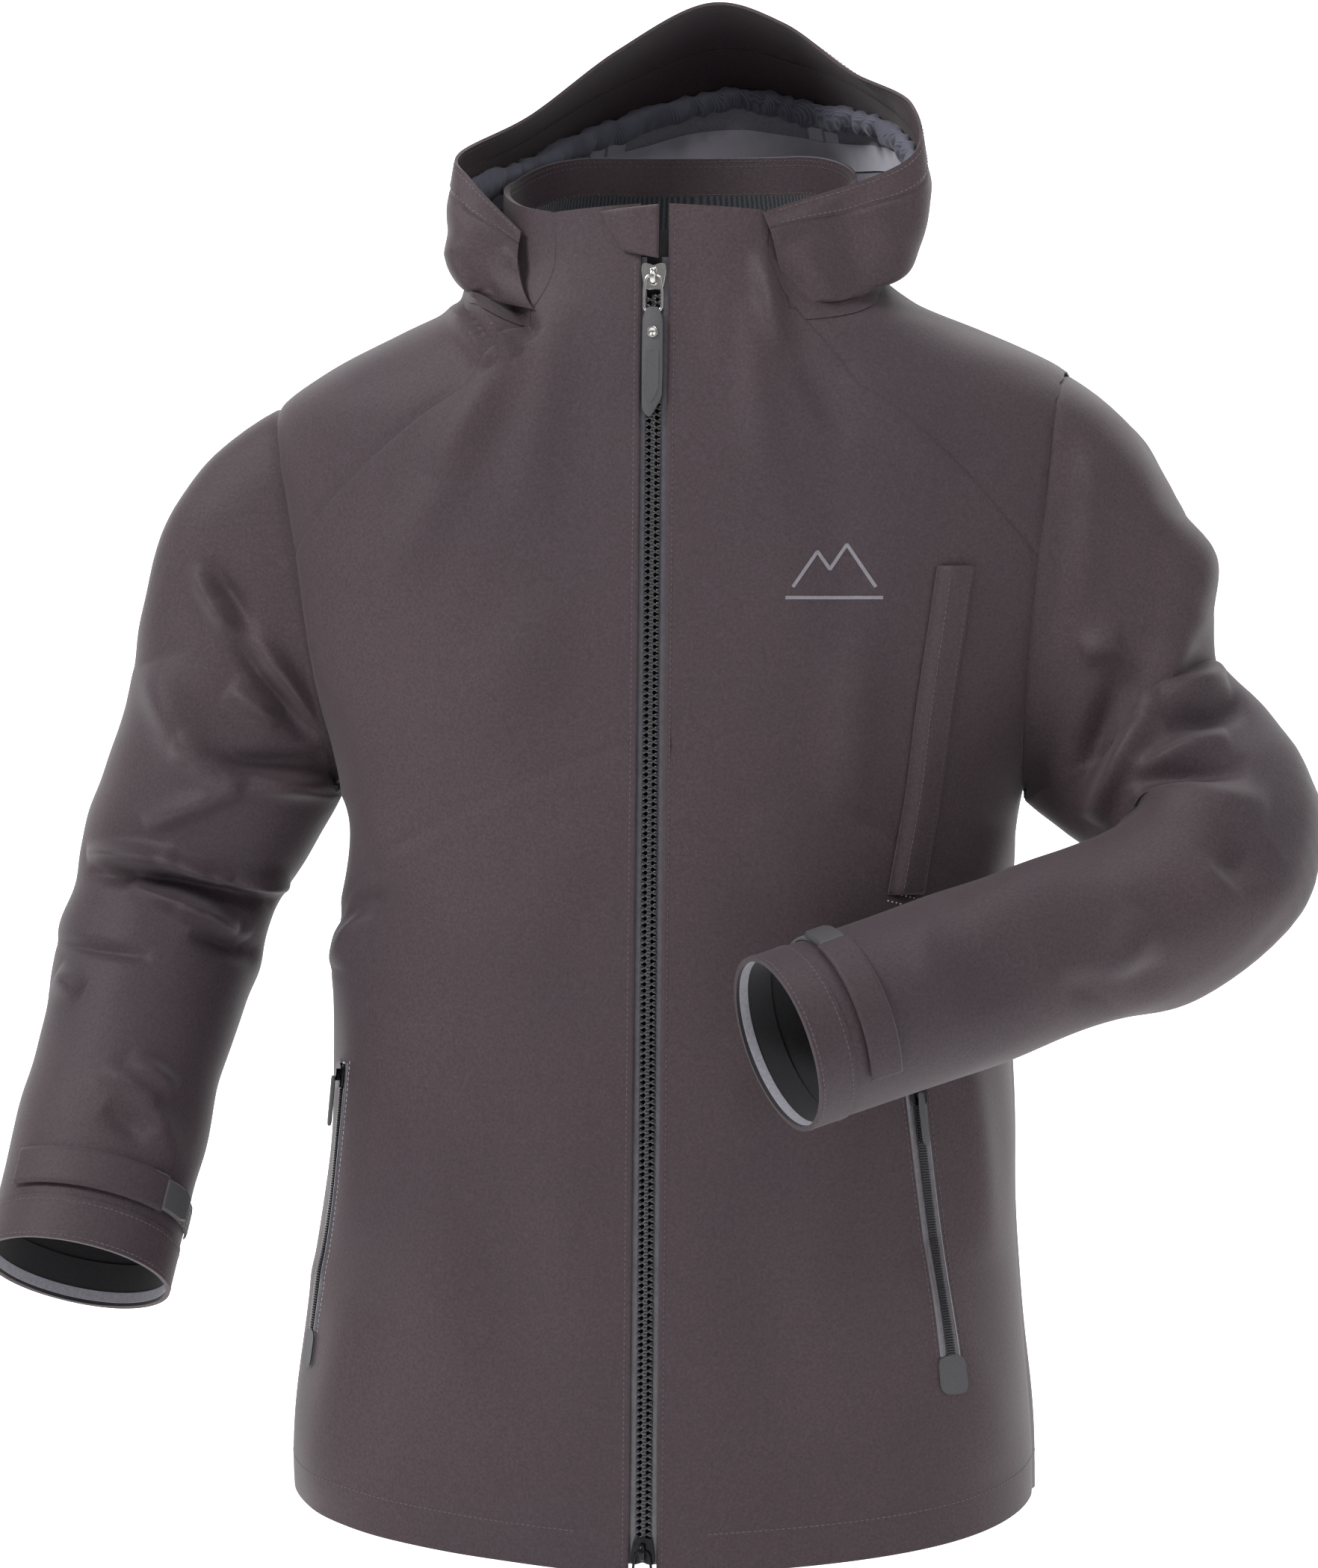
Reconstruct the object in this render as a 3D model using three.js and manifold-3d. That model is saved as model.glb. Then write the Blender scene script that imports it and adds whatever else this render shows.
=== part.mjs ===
// A men's hardshell jacket on its own, as if worn: the right arm hangs, the left forearm crosses the front.
// Millimetres, +Z up. The wearer faces -Y, so the wearer's left is +X. Heights below are above the hem line,
// and the whole jacket is then shifted so that the hanger loop inside the back neck is the origin.
import * as THREE from 'three';
import { mergeVertices } from 'three/addons/utils/BufferGeometryUtils.js';
import Module from 'manifold-3d';

const manifold = await Module();
manifold.setup();

// ---- Driving dimensions ----
const SHELL_THICKNESS = 1.6; // laminated shell fabric with its backer and seam allowance
const SEAM_GAP = 0.4; // clear space between two pieces that are sewn edge to edge
const LAYER_GAP = 0.9; // clear space between two layers that lie on each other
const LINING_THICKNESS = 1.2;
const BACK_LENGTH = 782; // front edge, from hem to collar top at the zip
const COLLAR_BACK_RISE = 38; // collar is this much higher at the nape than at the zip
const SQUARENESS = 2.4; // exponent of the superellipse that each level of the torso follows
const FRONT_DEPTH_AT_COLLAR = 96;
const FRONT_SLOPE = 0.062; // the closed zip is straight, and leans out by this much per mm down
const HEM_AT_ZIP = 9;
const HEM_LIFT_AT_SIDE = 34;
const CHEST_SEAM_AT_ZIP = 478;
const CHEST_SEAM_AT_SIDE = 352;
const ARMPIT_HEIGHT = 450;
const ARMHOLE_HALF_SPAN_LOW = 200.6; // distance of the armhole seam from the middle, at the armpit
const ARMHOLE_LEAN = { left: 0.07, right: 0.19 }; // the seam leans out by this much per mm up
const RAGLAN_AT_ARMHOLE = 583; // where the front raglan seam leaves the armhole
const BACK_RAGLAN_AT_ARMHOLE = 612;
const COLLAR_SEAM_LOW = 716; // where the front raglan seam meets the collar
const NAPE_HEIGHT = 755;
const ZIP_OPENING = 16;
const ZIP_CHAIN_WIDTH = 7.8;
const ZIP_TOP = 752;
const ZIP_BOTTOM = 15;
const ZIP_TOOTH_HEIGHT = 3.4;
const ZIP_TAPE_THICKNESS = 0.8;
const ZIP_TAPE_REACH = 15; // from the middle of the zip to the hidden edge of its tape
const SLIDER_WIDTH = 12.8;
const SLIDER_LENGTH = 14;
const SLIDER_PLATE = 1.4;
const SLIDER_WEB = 1.4;
const PULL_TAB_LENGTH = 61;
const PULL_TAB_WIDTH = 11;
const RIVET_DIAMETER = 6.4;
const POCKET_CHAIN_WIDTH = 6;
const POCKET_TAPE_WIDTH = 13;
const HAND_POCKET_TOP = 288;
const HAND_POCKET_BOTTOM = 130;
const HAND_POCKET_FROM_ZIP = { left: [174, 152], right: [199, 184] }; // at the bottom and at the top
const CHEST_POCKET_TOP = 578;
const CHEST_POCKET_BOTTOM = 392;
const WELT_WIDTH = 20;
const CUFF_BAND = 34;
const TAB_WIDTH = 30;
const LOOP_PATCH_WIDTH = 22;
const BRIM_SHARE = 0.84; // the hood's brim band starts at this share of the way from neck to face edge
const ORIGIN = [0, 82, 748]; // the hanger loop, measured in the hem frame

// The wearer's left side is pulled out at the shoulders by the raised arm, and the right side at the hem.
const SIDEWAYS_PULL = [[0, -8], [150, -8], [350, -3], [550, 6], [700, 9], [760, 4], [840, 3]];

// Half width of the torso and depth behind its middle, at heights above the hem line.
const HALF_WIDTH = [
  [-10, 221], [60, 220], [150, 212], [300, 203], [400, 199], [450, 201], [500, 221], [560, 240],
  [612, 249], [642, 251], [668, 244], [689, 215], [712, 170], [731, 131], [752, 108], [790, 103], [840, 101],
];
const BACK_DEPTH = [
  [-10, 118], [150, 116], [300, 118], [400, 124], [500, 134], [580, 138], [640, 130], [690, 112],
  [730, 93], [756, 84], [840, 80],
];

// The arms: elbow corner, cuff middle, how far the sleeve turns round the armpit before it runs straight, the
// elbow's rounding, how full the shoulder stays through the turn, and the sleeve's girth.
const ARMS = {
  left: { side: 1, elbow: [364, -58, 409], cuff: [84, -215, 320], turn: 0.94, round: 115, full: 0.5, girth: 1 },
  right: { side: -1, elbow: [-311, 18, 378], cuff: [-336, -112, 168], turn: 1.2, round: 60, full: 0, girth: 1.05 },
};
const ARMPIT_PIVOT = { out: 198, height: 436, clearance: 8 };
const SLEEVE_RADII = [[0, 66], [0.35, 58], [0.55, 54], [0.8, 53], [1, 52]]; // along the straight part
const SLEEVE_FLATNESS = 0.9; // depth of the sleeve against its height
const TURN_SHARE = 0.3; // share of the sleeve's parameter that the turn round the armpit takes

// Hood sections from the wearer's right, round the nape, to the left: where each leaves the neck seam (angle
// from the front, degrees), two control points of its curve, and its point on the face edge.
const HOOD = [
  [-24, [-90, -100, 732], [-92, -92, 752], [-80, -84, 772]],
  [-55, [-122, -72, 732], [-126, -72, 770], [-110, -66, 798]],
  [-90, [-130, -5, 733], [-132, -20, 790], [-122, -45, 815]],
  [-125, [-130, 100, 720], [-116, 80, 822], [-88, 5, 841]],
  [-155, [-75, 190, 695], [-75, 185, 860], [-40, 32, 881]],
  [-180, [0, 225, 690], [5, 225, 885], [12, 45, 909]],
  [-205, [72, 195, 695], [84, 190, 868], [58, 36, 896]],
  [-235, [132, 110, 720], [138, 95, 850], [99, 18, 866]],
  [-270, [146, 0, 733], [152, -5, 800], [139, -15, 843]],
  [-305, [142, -66, 730], [148, -62, 770], [138, -50, 808]],
  [-336, [94, -104, 732], [92, -102, 760], [66, -94, 779]],
];

// ---- Small tools ----
const lerp = THREE.MathUtils.lerp;
const smooth = (t) => THREE.MathUtils.smoothstep(t, 0, 1);

// A curve through (height, value) pairs, with slopes taken from the neighbours.
function profile(pairs) {
  const slope = (i) => {
    const a = pairs[Math.max(i - 1, 0)];
    const b = pairs[Math.min(i + 1, pairs.length - 1)];
    return (b[1] - a[1]) / (b[0] - a[0]);
  };
  return (x) => {
    let i = 0;
    while (i < pairs.length - 2 && x > pairs[i + 1][0]) i += 1;
    const [x0, y0] = pairs[i];
    const [x1, y1] = pairs[i + 1];
    const w = x1 - x0;
    const t = THREE.MathUtils.clamp((x - x0) / w, 0, 1);
    const t2 = t * t;
    const t3 = t2 * t;
    return (2 * t3 - 3 * t2 + 1) * y0 + (t3 - 2 * t2 + t) * w * slope(i)
      + (3 * t2 - 2 * t3) * y1 + (t3 - t2) * w * slope(i + 1);
  };
}

// Moves every vertex of a closed geometry, and turns the faces outwards.
function warp(geometry, place) {
  geometry.deleteAttribute('normal');
  geometry.deleteAttribute('uv');
  const source = geometry.attributes.position;
  const point = new THREE.Vector3();
  for (let i = 0; i < source.count; i += 1) {
    point.copy(place(source.getX(i), source.getY(i), source.getZ(i)));
    source.setXYZ(i, point.x, point.y, point.z);
  }
  const merged = mergeVertices(geometry, 1e-3);
  // Triangles that the merge has closed to a line are dropped.
  const kept = [];
  const all = merged.index.array;
  for (let k = 0; k < all.length; k += 3) {
    const [a, b, c] = [all[k], all[k + 1], all[k + 2]];
    if (a !== b && b !== c && c !== a) kept.push(a, b, c);
  }
  merged.setIndex(kept);
  const index = merged.index.array;
  const at = (k) => new THREE.Vector3().fromBufferAttribute(merged.attributes.position, index[k]);
  let volume = 0;
  for (let k = 0; k < index.length; k += 3) volume += at(k).dot(at(k + 1).cross(at(k + 2)));
  if (volume < 0) {
    for (let k = 0; k < index.length; k += 3) {
      [index[k], index[k + 1]] = [index[k + 1], index[k]];
    }
  }
  return merged;
}

// A sheet with thickness: surface(u, v) carried from the outer side to the inner side along its normal.
function sheet(surface, columns, rows, outer, inner) {
  const depth = typeof inner === 'function' ? inner : () => inner;
  const top = typeof outer === 'function' ? outer : () => outer;
  return warp(new THREE.BoxGeometry(1, 1, 1, columns, rows, 1), (x, y, z) => {
    const u = x + 0.5;
    const v = y + 0.5;
    return offset(surface, u, v, z > 0 ? top(u, v) : depth(u, v));
  });
}

// A closed tube with a wall: surface(s, phi) with s along it and phi round it.
function pipe(surface, around, along, outer, inner) {
  const profilePoints = [];
  for (let i = 0; i <= along; i += 1) profilePoints.push(new THREE.Vector2(2, i / along));
  for (let i = along; i >= 0; i -= 1) profilePoints.push(new THREE.Vector2(1, i / along));
  profilePoints.push(new THREE.Vector2(2, 0));
  return warp(new THREE.LatheGeometry(profilePoints, around), (x, y, z) => {
    const phi = Math.atan2(x, z);
    const wall = Math.hypot(x, z) > 1.5 ? outer : inner;
    return offset(surface, y, (phi + 2 * Math.PI) % (2 * Math.PI), wall);
  });
}

// A point off a surface by a distance along its normal, positive outwards. outside(p) tells which way is out.
function offset(surface, u, v, distance) {
  const step = 1e-4;
  const at = surface(u, v);
  const du = surface(u + step, v).sub(surface(u - step, v));
  const dv = surface(u, v + step).sub(surface(u, v - step));
  const normal = du.cross(dv).normalize().multiplyScalar(surface.side);
  return at.addScaledVector(normal, distance);
}

// Joins two closed meshes that overlap into one.
function join(a, b) {
  const [first, second] = [a, b].map((geometry) => new manifold.Manifold(new manifold.Mesh({
    numProp: 3,
    vertProperties: Float32Array.from(geometry.attributes.position.array),
    triVerts: Uint32Array.from(geometry.index.array),
  })));
  const mesh = first.add(second).getMesh();
  const joined = new THREE.BufferGeometry();
  joined.setAttribute('position', new THREE.BufferAttribute(Float32Array.from(mesh.vertProperties), 3));
  joined.setIndex(new THREE.BufferAttribute(Uint32Array.from(mesh.triVerts), 1));
  return joined;
}

function oriented(surface, side) {
  surface.side = side;
  return surface;
}

const jacket = new THREE.Group();
const hemFrame = new THREE.Group();
hemFrame.position.set(-ORIGIN[0], -ORIGIN[1], -ORIGIN[2]);
jacket.add(hemFrame);

const shellFabric = new THREE.MeshStandardMaterial({ color: 0x453a40, roughness: 0.75 });
const darkLining = new THREE.MeshStandardMaterial({ color: 0x161518, roughness: 0.95 });
const greyLining = new THREE.MeshStandardMaterial({ color: 0x6d6a72, roughness: 0.8 });
const elasticTwill = new THREE.MeshStandardMaterial({ color: 0x3f3f4a, roughness: 0.8 });
const zipTape = new THREE.MeshStandardMaterial({ color: 0x3a383c, roughness: 0.35 });
const zipPlastic = new THREE.MeshStandardMaterial({ color: 0x17161a, roughness: 0.4 });
const bareMetal = new THREE.MeshStandardMaterial({ color: 0xc4c4c8, roughness: 0.25, metalness: 1 });
const blackMetal = new THREE.MeshStandardMaterial({ color: 0x1b1b1e, roughness: 0.35, metalness: 0.8 });
const softRubber = new THREE.MeshStandardMaterial({ color: 0x3b3a3c, roughness: 0.6 });
const hookAndLoop = new THREE.MeshStandardMaterial({ color: 0x0f0f10, roughness: 1 });

function add(name, geometry, material, parent = hemFrame) {
  const mesh = new THREE.Mesh(geometry, material);
  mesh.name = name;
  parent.add(mesh);
  return mesh;
}

// ---- The torso's surface ----
const halfWidth = profile(HALF_WIDTH);
const backDepth = profile(BACK_DEPTH);
const frontDepth = (z) => FRONT_DEPTH_AT_COLLAR + FRONT_SLOPE * (BACK_LENGTH - z);
const sidewaysPull = profile(SIDEWAYS_PULL);
const leanOf = (side) => (side > 0 ? ARMHOLE_LEAN.left : ARMHOLE_LEAN.right);
const armholeSpan = (z, side) => ARMHOLE_HALF_SPAN_LOW + leanOf(side) * (z - ARMPIT_HEIGHT);

// The armhole ends where the shoulder has come in to the armhole seam.
function armholeTop(side) {
  let low = 650;
  let high = 740;
  for (let i = 0; i < 30; i += 1) {
    const z = (low + high) / 2;
    if (halfWidth(z) > armholeSpan(z, side)) low = z;
    else high = z;
  }
  return low;
}

// The point at an angle round the torso (0 at the zip, positive to the wearer's left) and a height.
function torsoPoint(angle, z) {
  const power = 2 / SQUARENESS;
  const s = Math.sin(angle);
  const c = Math.cos(angle);
  const depth = c > 0 ? frontDepth(z) : backDepth(z);
  const reach = Math.abs(s) ** power;
  return new THREE.Vector3(
    (halfWidth(z) * Math.sign(s) + sidewaysPull(z)) * reach,
    -depth * Math.sign(c) * Math.abs(c) ** power,
    z,
  );
}

const angleAt = (x, z) => Math.asin(Math.min(1, Math.abs(x) / halfWidth(z)) ** (SQUARENESS / 2));
const armholeAngle = (z, side) => (z > ARMPIT_HEIGHT ? angleAt(armholeSpan(z, side), z) : Math.PI / 2);

// Seam lines as lists of [angle, height], walked by a share of their whole length.
function seam(points) {
  const places = points.map(([angle, z]) => torsoPoint(angle, z));
  const lengths = [0];
  for (let i = 1; i < places.length; i += 1) lengths.push(lengths[i - 1] + places[i].distanceTo(places[i - 1]));
  const whole = lengths[lengths.length - 1];
  return (share) => {
    const goal = share * whole;
    let i = 1;
    while (i < lengths.length - 1 && lengths[i] < goal) i += 1;
    const t = (goal - lengths[i - 1]) / (lengths[i] - lengths[i - 1]);
    return [lerp(points[i - 1][0], points[i][0], t), lerp(points[i - 1][1], points[i][1], t)];
  };
}

function armholeStretch(from, to, steps, behind, side) {
  return Array.from({ length: steps + 1 }, (_, i) => {
    const z = lerp(from, to, i / steps);
    const angle = armholeAngle(z, side);
    return [behind ? Math.PI - angle : angle, z];
  });
}

const COLLAR_FRONT = 0.6; // angle of the collar's front corners at the rim
const zipEdge = ZIP_OPENING / 2;
// The front raglan seam, as distances from the middle at heights, from near the armhole to the collar.
const RAGLAN_FRONT = [[194, 604], [171, 631], [147, 654], [112, 679], [82, COLLAR_SEAM_LOW]];
const raglanFront = (side) => [
  [armholeAngle(RAGLAN_AT_ARMHOLE, side), RAGLAN_AT_ARMHOLE],
  ...RAGLAN_FRONT.map(([x, z]) => [angleAt(x * (side > 0 ? 1 : lerp(1.08, 1, (z - 604) / 112)), z), z]),
];
const raglanBack = (side) => [
  [Math.PI - armholeAngle(BACK_RAGLAN_AT_ARMHOLE, side), BACK_RAGLAN_AT_ARMHOLE], [2.2, 640], [2.45, 680],
  [2.6, 720], [2.62, NAPE_HEIGHT - 4],
];
const collarBase = (angle) => lerp(COLLAR_SEAM_LOW, NAPE_HEIGHT, smooth((angle - 0.4) / 1.6));
const rimHeight = (angle) => BACK_LENGTH - 4 + (COLLAR_BACK_RISE + 4) * smooth((angle - 0.4) / 2.2);

const chestOuterEdge = (side) => seam([
  [Math.PI / 2, CHEST_SEAM_AT_SIDE], [Math.PI / 2, 400], [Math.PI / 2, ARMPIT_HEIGHT],
  ...armholeStretch(ARMPIT_HEIGHT + 6, RAGLAN_AT_ARMHOLE, 6, false, side).slice(0, -1),
  ...raglanFront(side),
  [COLLAR_FRONT, BACK_LENGTH - 4],
]);
const backEdge = (side) => seam([
  [Math.PI / 2, HEM_LIFT_AT_SIDE], [Math.PI / 2, 200], [Math.PI / 2, ARMPIT_HEIGHT],
  ...armholeStretch(ARMPIT_HEIGHT + 6, BACK_RAGLAN_AT_ARMHOLE, 6, true, side).slice(0, -1),
  ...raglanBack(side),
]);

// A piece of the torso between two edges that give [angle, height] for a share of their length. Each edge is
// drawn in by half the seam gap.
function between(edgeA, edgeB, side, foot = 0, head = 0) {
  return oriented((u, v) => {
    const [angleA, zA] = edgeA(v);
    const [angleB, zB] = edgeB(v);
    const z = lerp(zA, zB, u) + lerp(SEAM_GAP / 2 + foot, -SEAM_GAP / 2 - head, v);
    const pull = (SEAM_GAP / 2 / halfWidth(z)) * (1 - 2 * u);
    return torsoPoint(side * (lerp(angleA, angleB, u) + pull), z);
  }, side);
}

const zipSide = (low, high) => (v) => {
  const z = lerp(low, high, v);
  return [angleAt(zipEdge, z), z];
};

for (const [word, side] of [['left', 1], ['right', -1]]) {
  const chest = between(zipSide(CHEST_SEAM_AT_ZIP, BACK_LENGTH), chestOuterEdge(side), side);
  add(`${word}_chest_panel`, sheet(chest, 10, 14, 0, -SHELL_THICKNESS), shellFabric);

  const skirtSide = (v) => [Math.PI / 2, lerp(HEM_LIFT_AT_SIDE, CHEST_SEAM_AT_SIDE, v)];
  const skirt = between(zipSide(HEM_AT_ZIP, CHEST_SEAM_AT_ZIP), skirtSide, side);
  add(`${word}_front_skirt_panel`, sheet(skirt, 12, 8, 0, -SHELL_THICKNESS), shellFabric);

  // The yoke runs over the shoulder, from the front raglan seam to the back one.
  const yoke = yokeSurface(side);
  add(`${word}_shoulder_yoke`, sheet(yoke, 14, 6, 0, -SHELL_THICKNESS), shellFabric);
}

// A surface filled in between four seams, each drawn in by about half a seam gap.
function yokeSurface(side) {
  const overTop = seamOverArmhole(side);
  const front = seam(raglanFront(side));
  const back = seam(raglanBack(side));
  const neck = (u) => {
    const angle = lerp(front(1)[0], back(1)[0], u);
    return [angle, collarBase(angle)];
  };
  const edge = 0.017;
  return oriented((u, v) => {
    const a = lerp(edge, 1 - edge, u);
    const b = lerp(edge, 1 - edge, v);
    const [angle, z] = [0, 1].map((k) => lerp(front(b)[k], back(b)[k], a) + lerp(overTop(a)[k], neck(a)[k], b)
      - lerp(lerp(front(0)[k], back(0)[k], a), lerp(front(1)[k], back(1)[k], a), b));
    return torsoPoint(side * angle, z);
  }, side);
}

// The armhole's upper part, from the front raglan seam over the shoulder to the back one, as [angle, height].
function seamOverArmhole(side) {
  const rise = [];
  for (let i = 0; i <= 12; i += 1) {
    const t = i / 12;
    const peak = Math.sin(Math.PI * Math.min(1, t * 1.04) ** 0.95);
    const low = lerp(RAGLAN_AT_ARMHOLE, BACK_RAGLAN_AT_ARMHOLE, t);
    const z = lerp(low, armholeTop(side), Math.max(0, peak) ** 0.7);
    const angle = armholeAngle(z, side);
    rise.push([t < 0.5 ? angle : Math.PI - angle, z]);
  }
  return seam(rise);
}

const backEdges = [backEdge(1), backEdge(-1)];
const BACK_HEM_DROP = 18; // the hem is this much lower in the middle of the back than at the sides
const backSurface = oriented((u, v) => {
  const [leftAngle, leftHeight] = backEdges[0](v);
  const [rightAngle, rightHeight] = backEdges[1](v);
  const angle = lerp(leftAngle + 0.0015, 2 * Math.PI - rightAngle - 0.0015, u);
  const drop = BACK_HEM_DROP * Math.sin(Math.PI * u) * (1 - smooth(v * 3));
  return torsoPoint(angle, lerp(leftHeight, rightHeight, u) - drop);
}, 1);
add('back_panel', sheet(backSurface, 16, 16, 0, -SHELL_THICKNESS), shellFabric);

// ---- Collar: shell round the nape, knit lining inside it, and the facing band along its rim ----
const [collarFootReach, collarFootHeight] = RAGLAN_FRONT[RAGLAN_FRONT.length - 1];
const COLLAR_FOOT = angleAt(collarFootReach, collarFootHeight) + 0.04; // at the collar's lower front corners
function collarBand(low, high, start = COLLAR_FRONT + 0.03) {
  return oriented((u, v) => {
    const from = lerp(COLLAR_FOOT, start, v);
    const angle = lerp(from, 2 * Math.PI - from, u);
    const folded = Math.min(angle, 2 * Math.PI - angle);
    return torsoPoint(angle, lerp(low(folded), high(folded), v));
  }, 1);
}
const FACING_WIDTH = 24;
const knitDepth = -SHELL_THICKNESS - 2.4 * LAYER_GAP;
add('collar_shell', sheet(
  collarBand((a) => collarBase(a) + SEAM_GAP, (a) => rimHeight(a)), 26, 7, 0, -SHELL_THICKNESS,
), shellFabric);
add('collar_knit_lining', sheet(
  collarBand((a) => collarBase(a) + 6, (a) => rimHeight(a) - FACING_WIDTH - 2 * SEAM_GAP, 0.66),
  26, 6, knitDepth, knitDepth - 2.2,
), darkLining);
add('collar_facing', sheet(
  collarBand((a) => rimHeight(a) - FACING_WIDTH, (a) => rimHeight(a) - 1, 0.66),
  26, 1, knitDepth + 0.5, knitDepth + 0.5 - LINING_THICKNESS,
), shellFabric);

// ---- Hood ----
const hoodBase = HOOD.map(([degrees]) => {
  const angle = -THREE.MathUtils.degToRad(degrees);
  const folded = angle > Math.PI ? 2 * Math.PI - angle : angle;
  const place = torsoPoint(-angle, collarBase(folded) + 6);
  const away = new THREE.Vector3(place.x, place.y, 0).normalize();
  return place.addScaledVector(away, 3);
});
const hoodRows = [
  hoodBase,
  HOOD.map((row) => new THREE.Vector3(...row[1])),
  HOOD.map((row) => new THREE.Vector3(...row[2])),
  HOOD.map((row) => new THREE.Vector3(...row[3])),
].map((points) => new THREE.CatmullRomCurve3(points, false, 'catmullrom', 0.5));

// u runs from the right front corner (0) over the nape to the left one (1), v from the neck seam to the face.
const hoodSurface = oriented((u, v) => {
  const across = THREE.MathUtils.clamp(u, 0, 1);
  const [p, q, r, s] = hoodRows.map((curve) => curve.getPoint(across));
  const w = 1 - v;
  return p.multiplyScalar(w * w * w).addScaledVector(q, 3 * w * w * v)
    .addScaledVector(r, 3 * w * v * v).addScaledVector(s, v * v * v);
}, -1);
const hoodPatch = (u0, u1, v0, v1) => oriented(
  (u, v) => hoodSurface(lerp(u0, u1, u), lerp(v0, v1, v)), hoodSurface.side,
);
const HOOD_EDGE = 0.004;
const SIDE_SEAMS = [0.4, 0.6]; // where the crown panel meets the side panels
const SEAM_HALF = 0.0014;
const BRIM_GAP = 0.006;
const hoodPanels = [
  ['hood_right_panel', HOOD_EDGE, SIDE_SEAMS[0] - SEAM_HALF, 12],
  ['hood_crown_panel', SIDE_SEAMS[0] + SEAM_HALF, SIDE_SEAMS[1] - SEAM_HALF, 8],
  ['hood_left_panel', SIDE_SEAMS[1] + SEAM_HALF, 1 - HOOD_EDGE, 12],
];
for (const [name, from, to, columns] of hoodPanels) {
  const patch = hoodPatch(from, to, 0.01, BRIM_SHARE - BRIM_GAP);
  add(name, sheet(patch, columns, 7, 0, -SHELL_THICKNESS), shellFabric);
}
add('hood_brim', sheet(
  hoodPatch(HOOD_EDGE, 1 - HOOD_EDGE, BRIM_SHARE + BRIM_GAP, 1), 28, 2, 0, -SHELL_THICKNESS,
), shellFabric);
const tapeDepth = -SHELL_THICKNESS - 2 * LAYER_GAP;
add('hood_face_elastic', sheet(
  hoodPatch(0.2, 0.86, BRIM_SHARE - 0.14, BRIM_SHARE - 0.02), 24, 1, tapeDepth - 0.35, tapeDepth - 4.9,
), elasticTwill);
for (const [word, place] of [['right', SIDE_SEAMS[0]], ['left', SIDE_SEAMS[1]]]) {
  const patch = hoodPatch(place - 0.017, place + 0.017, 0.06, BRIM_SHARE - 0.16);
  add(`hood_seam_tape_${word}`, sheet(patch, 1, 7, tapeDepth - 0.1, tapeDepth - 0.7), greyLining);
}

// ---- Sleeves ----
// The armhole seam as a closed loop, by the angle round its middle: 0 at the front, a quarter turn at the top.
function armholeLoop(side) {
  const top = armholeTop(side);
  const middle = (ARMPIT_HEIGHT + top) / 2;
  const halfDepth = (z, behind) => {
    const ratio = Math.min(1, armholeSpan(z, side) / halfWidth(z));
    return (behind ? backDepth(z) : frontDepth(z)) * (1 - ratio ** SQUARENESS) ** (1 / SQUARENESS);
  };
  return (phi) => {
    const c = Math.cos(phi);
    const s = Math.sin(phi);
    let near = 0;
    let far = 150;
    for (let i = 0; i < 26; i += 1) {
      const r = (near + far) / 2;
      const z = middle + r * s;
      const inside = z > ARMPIT_HEIGHT && z < top && Math.abs(r * c) < halfDepth(z, c < 0);
      if (inside) near = r;
      else far = r;
    }
    const z = middle + near * s;
    const span = armholeSpan(z, side);
    const pull = sidewaysPull(z) * Math.min(1, span / halfWidth(z));
    return new THREE.Vector3(side * (span + 4 * SEAM_GAP) + pull, -near * c, z);
  };
}

const radiusAlong = profile(SLEEVE_RADII);

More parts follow.
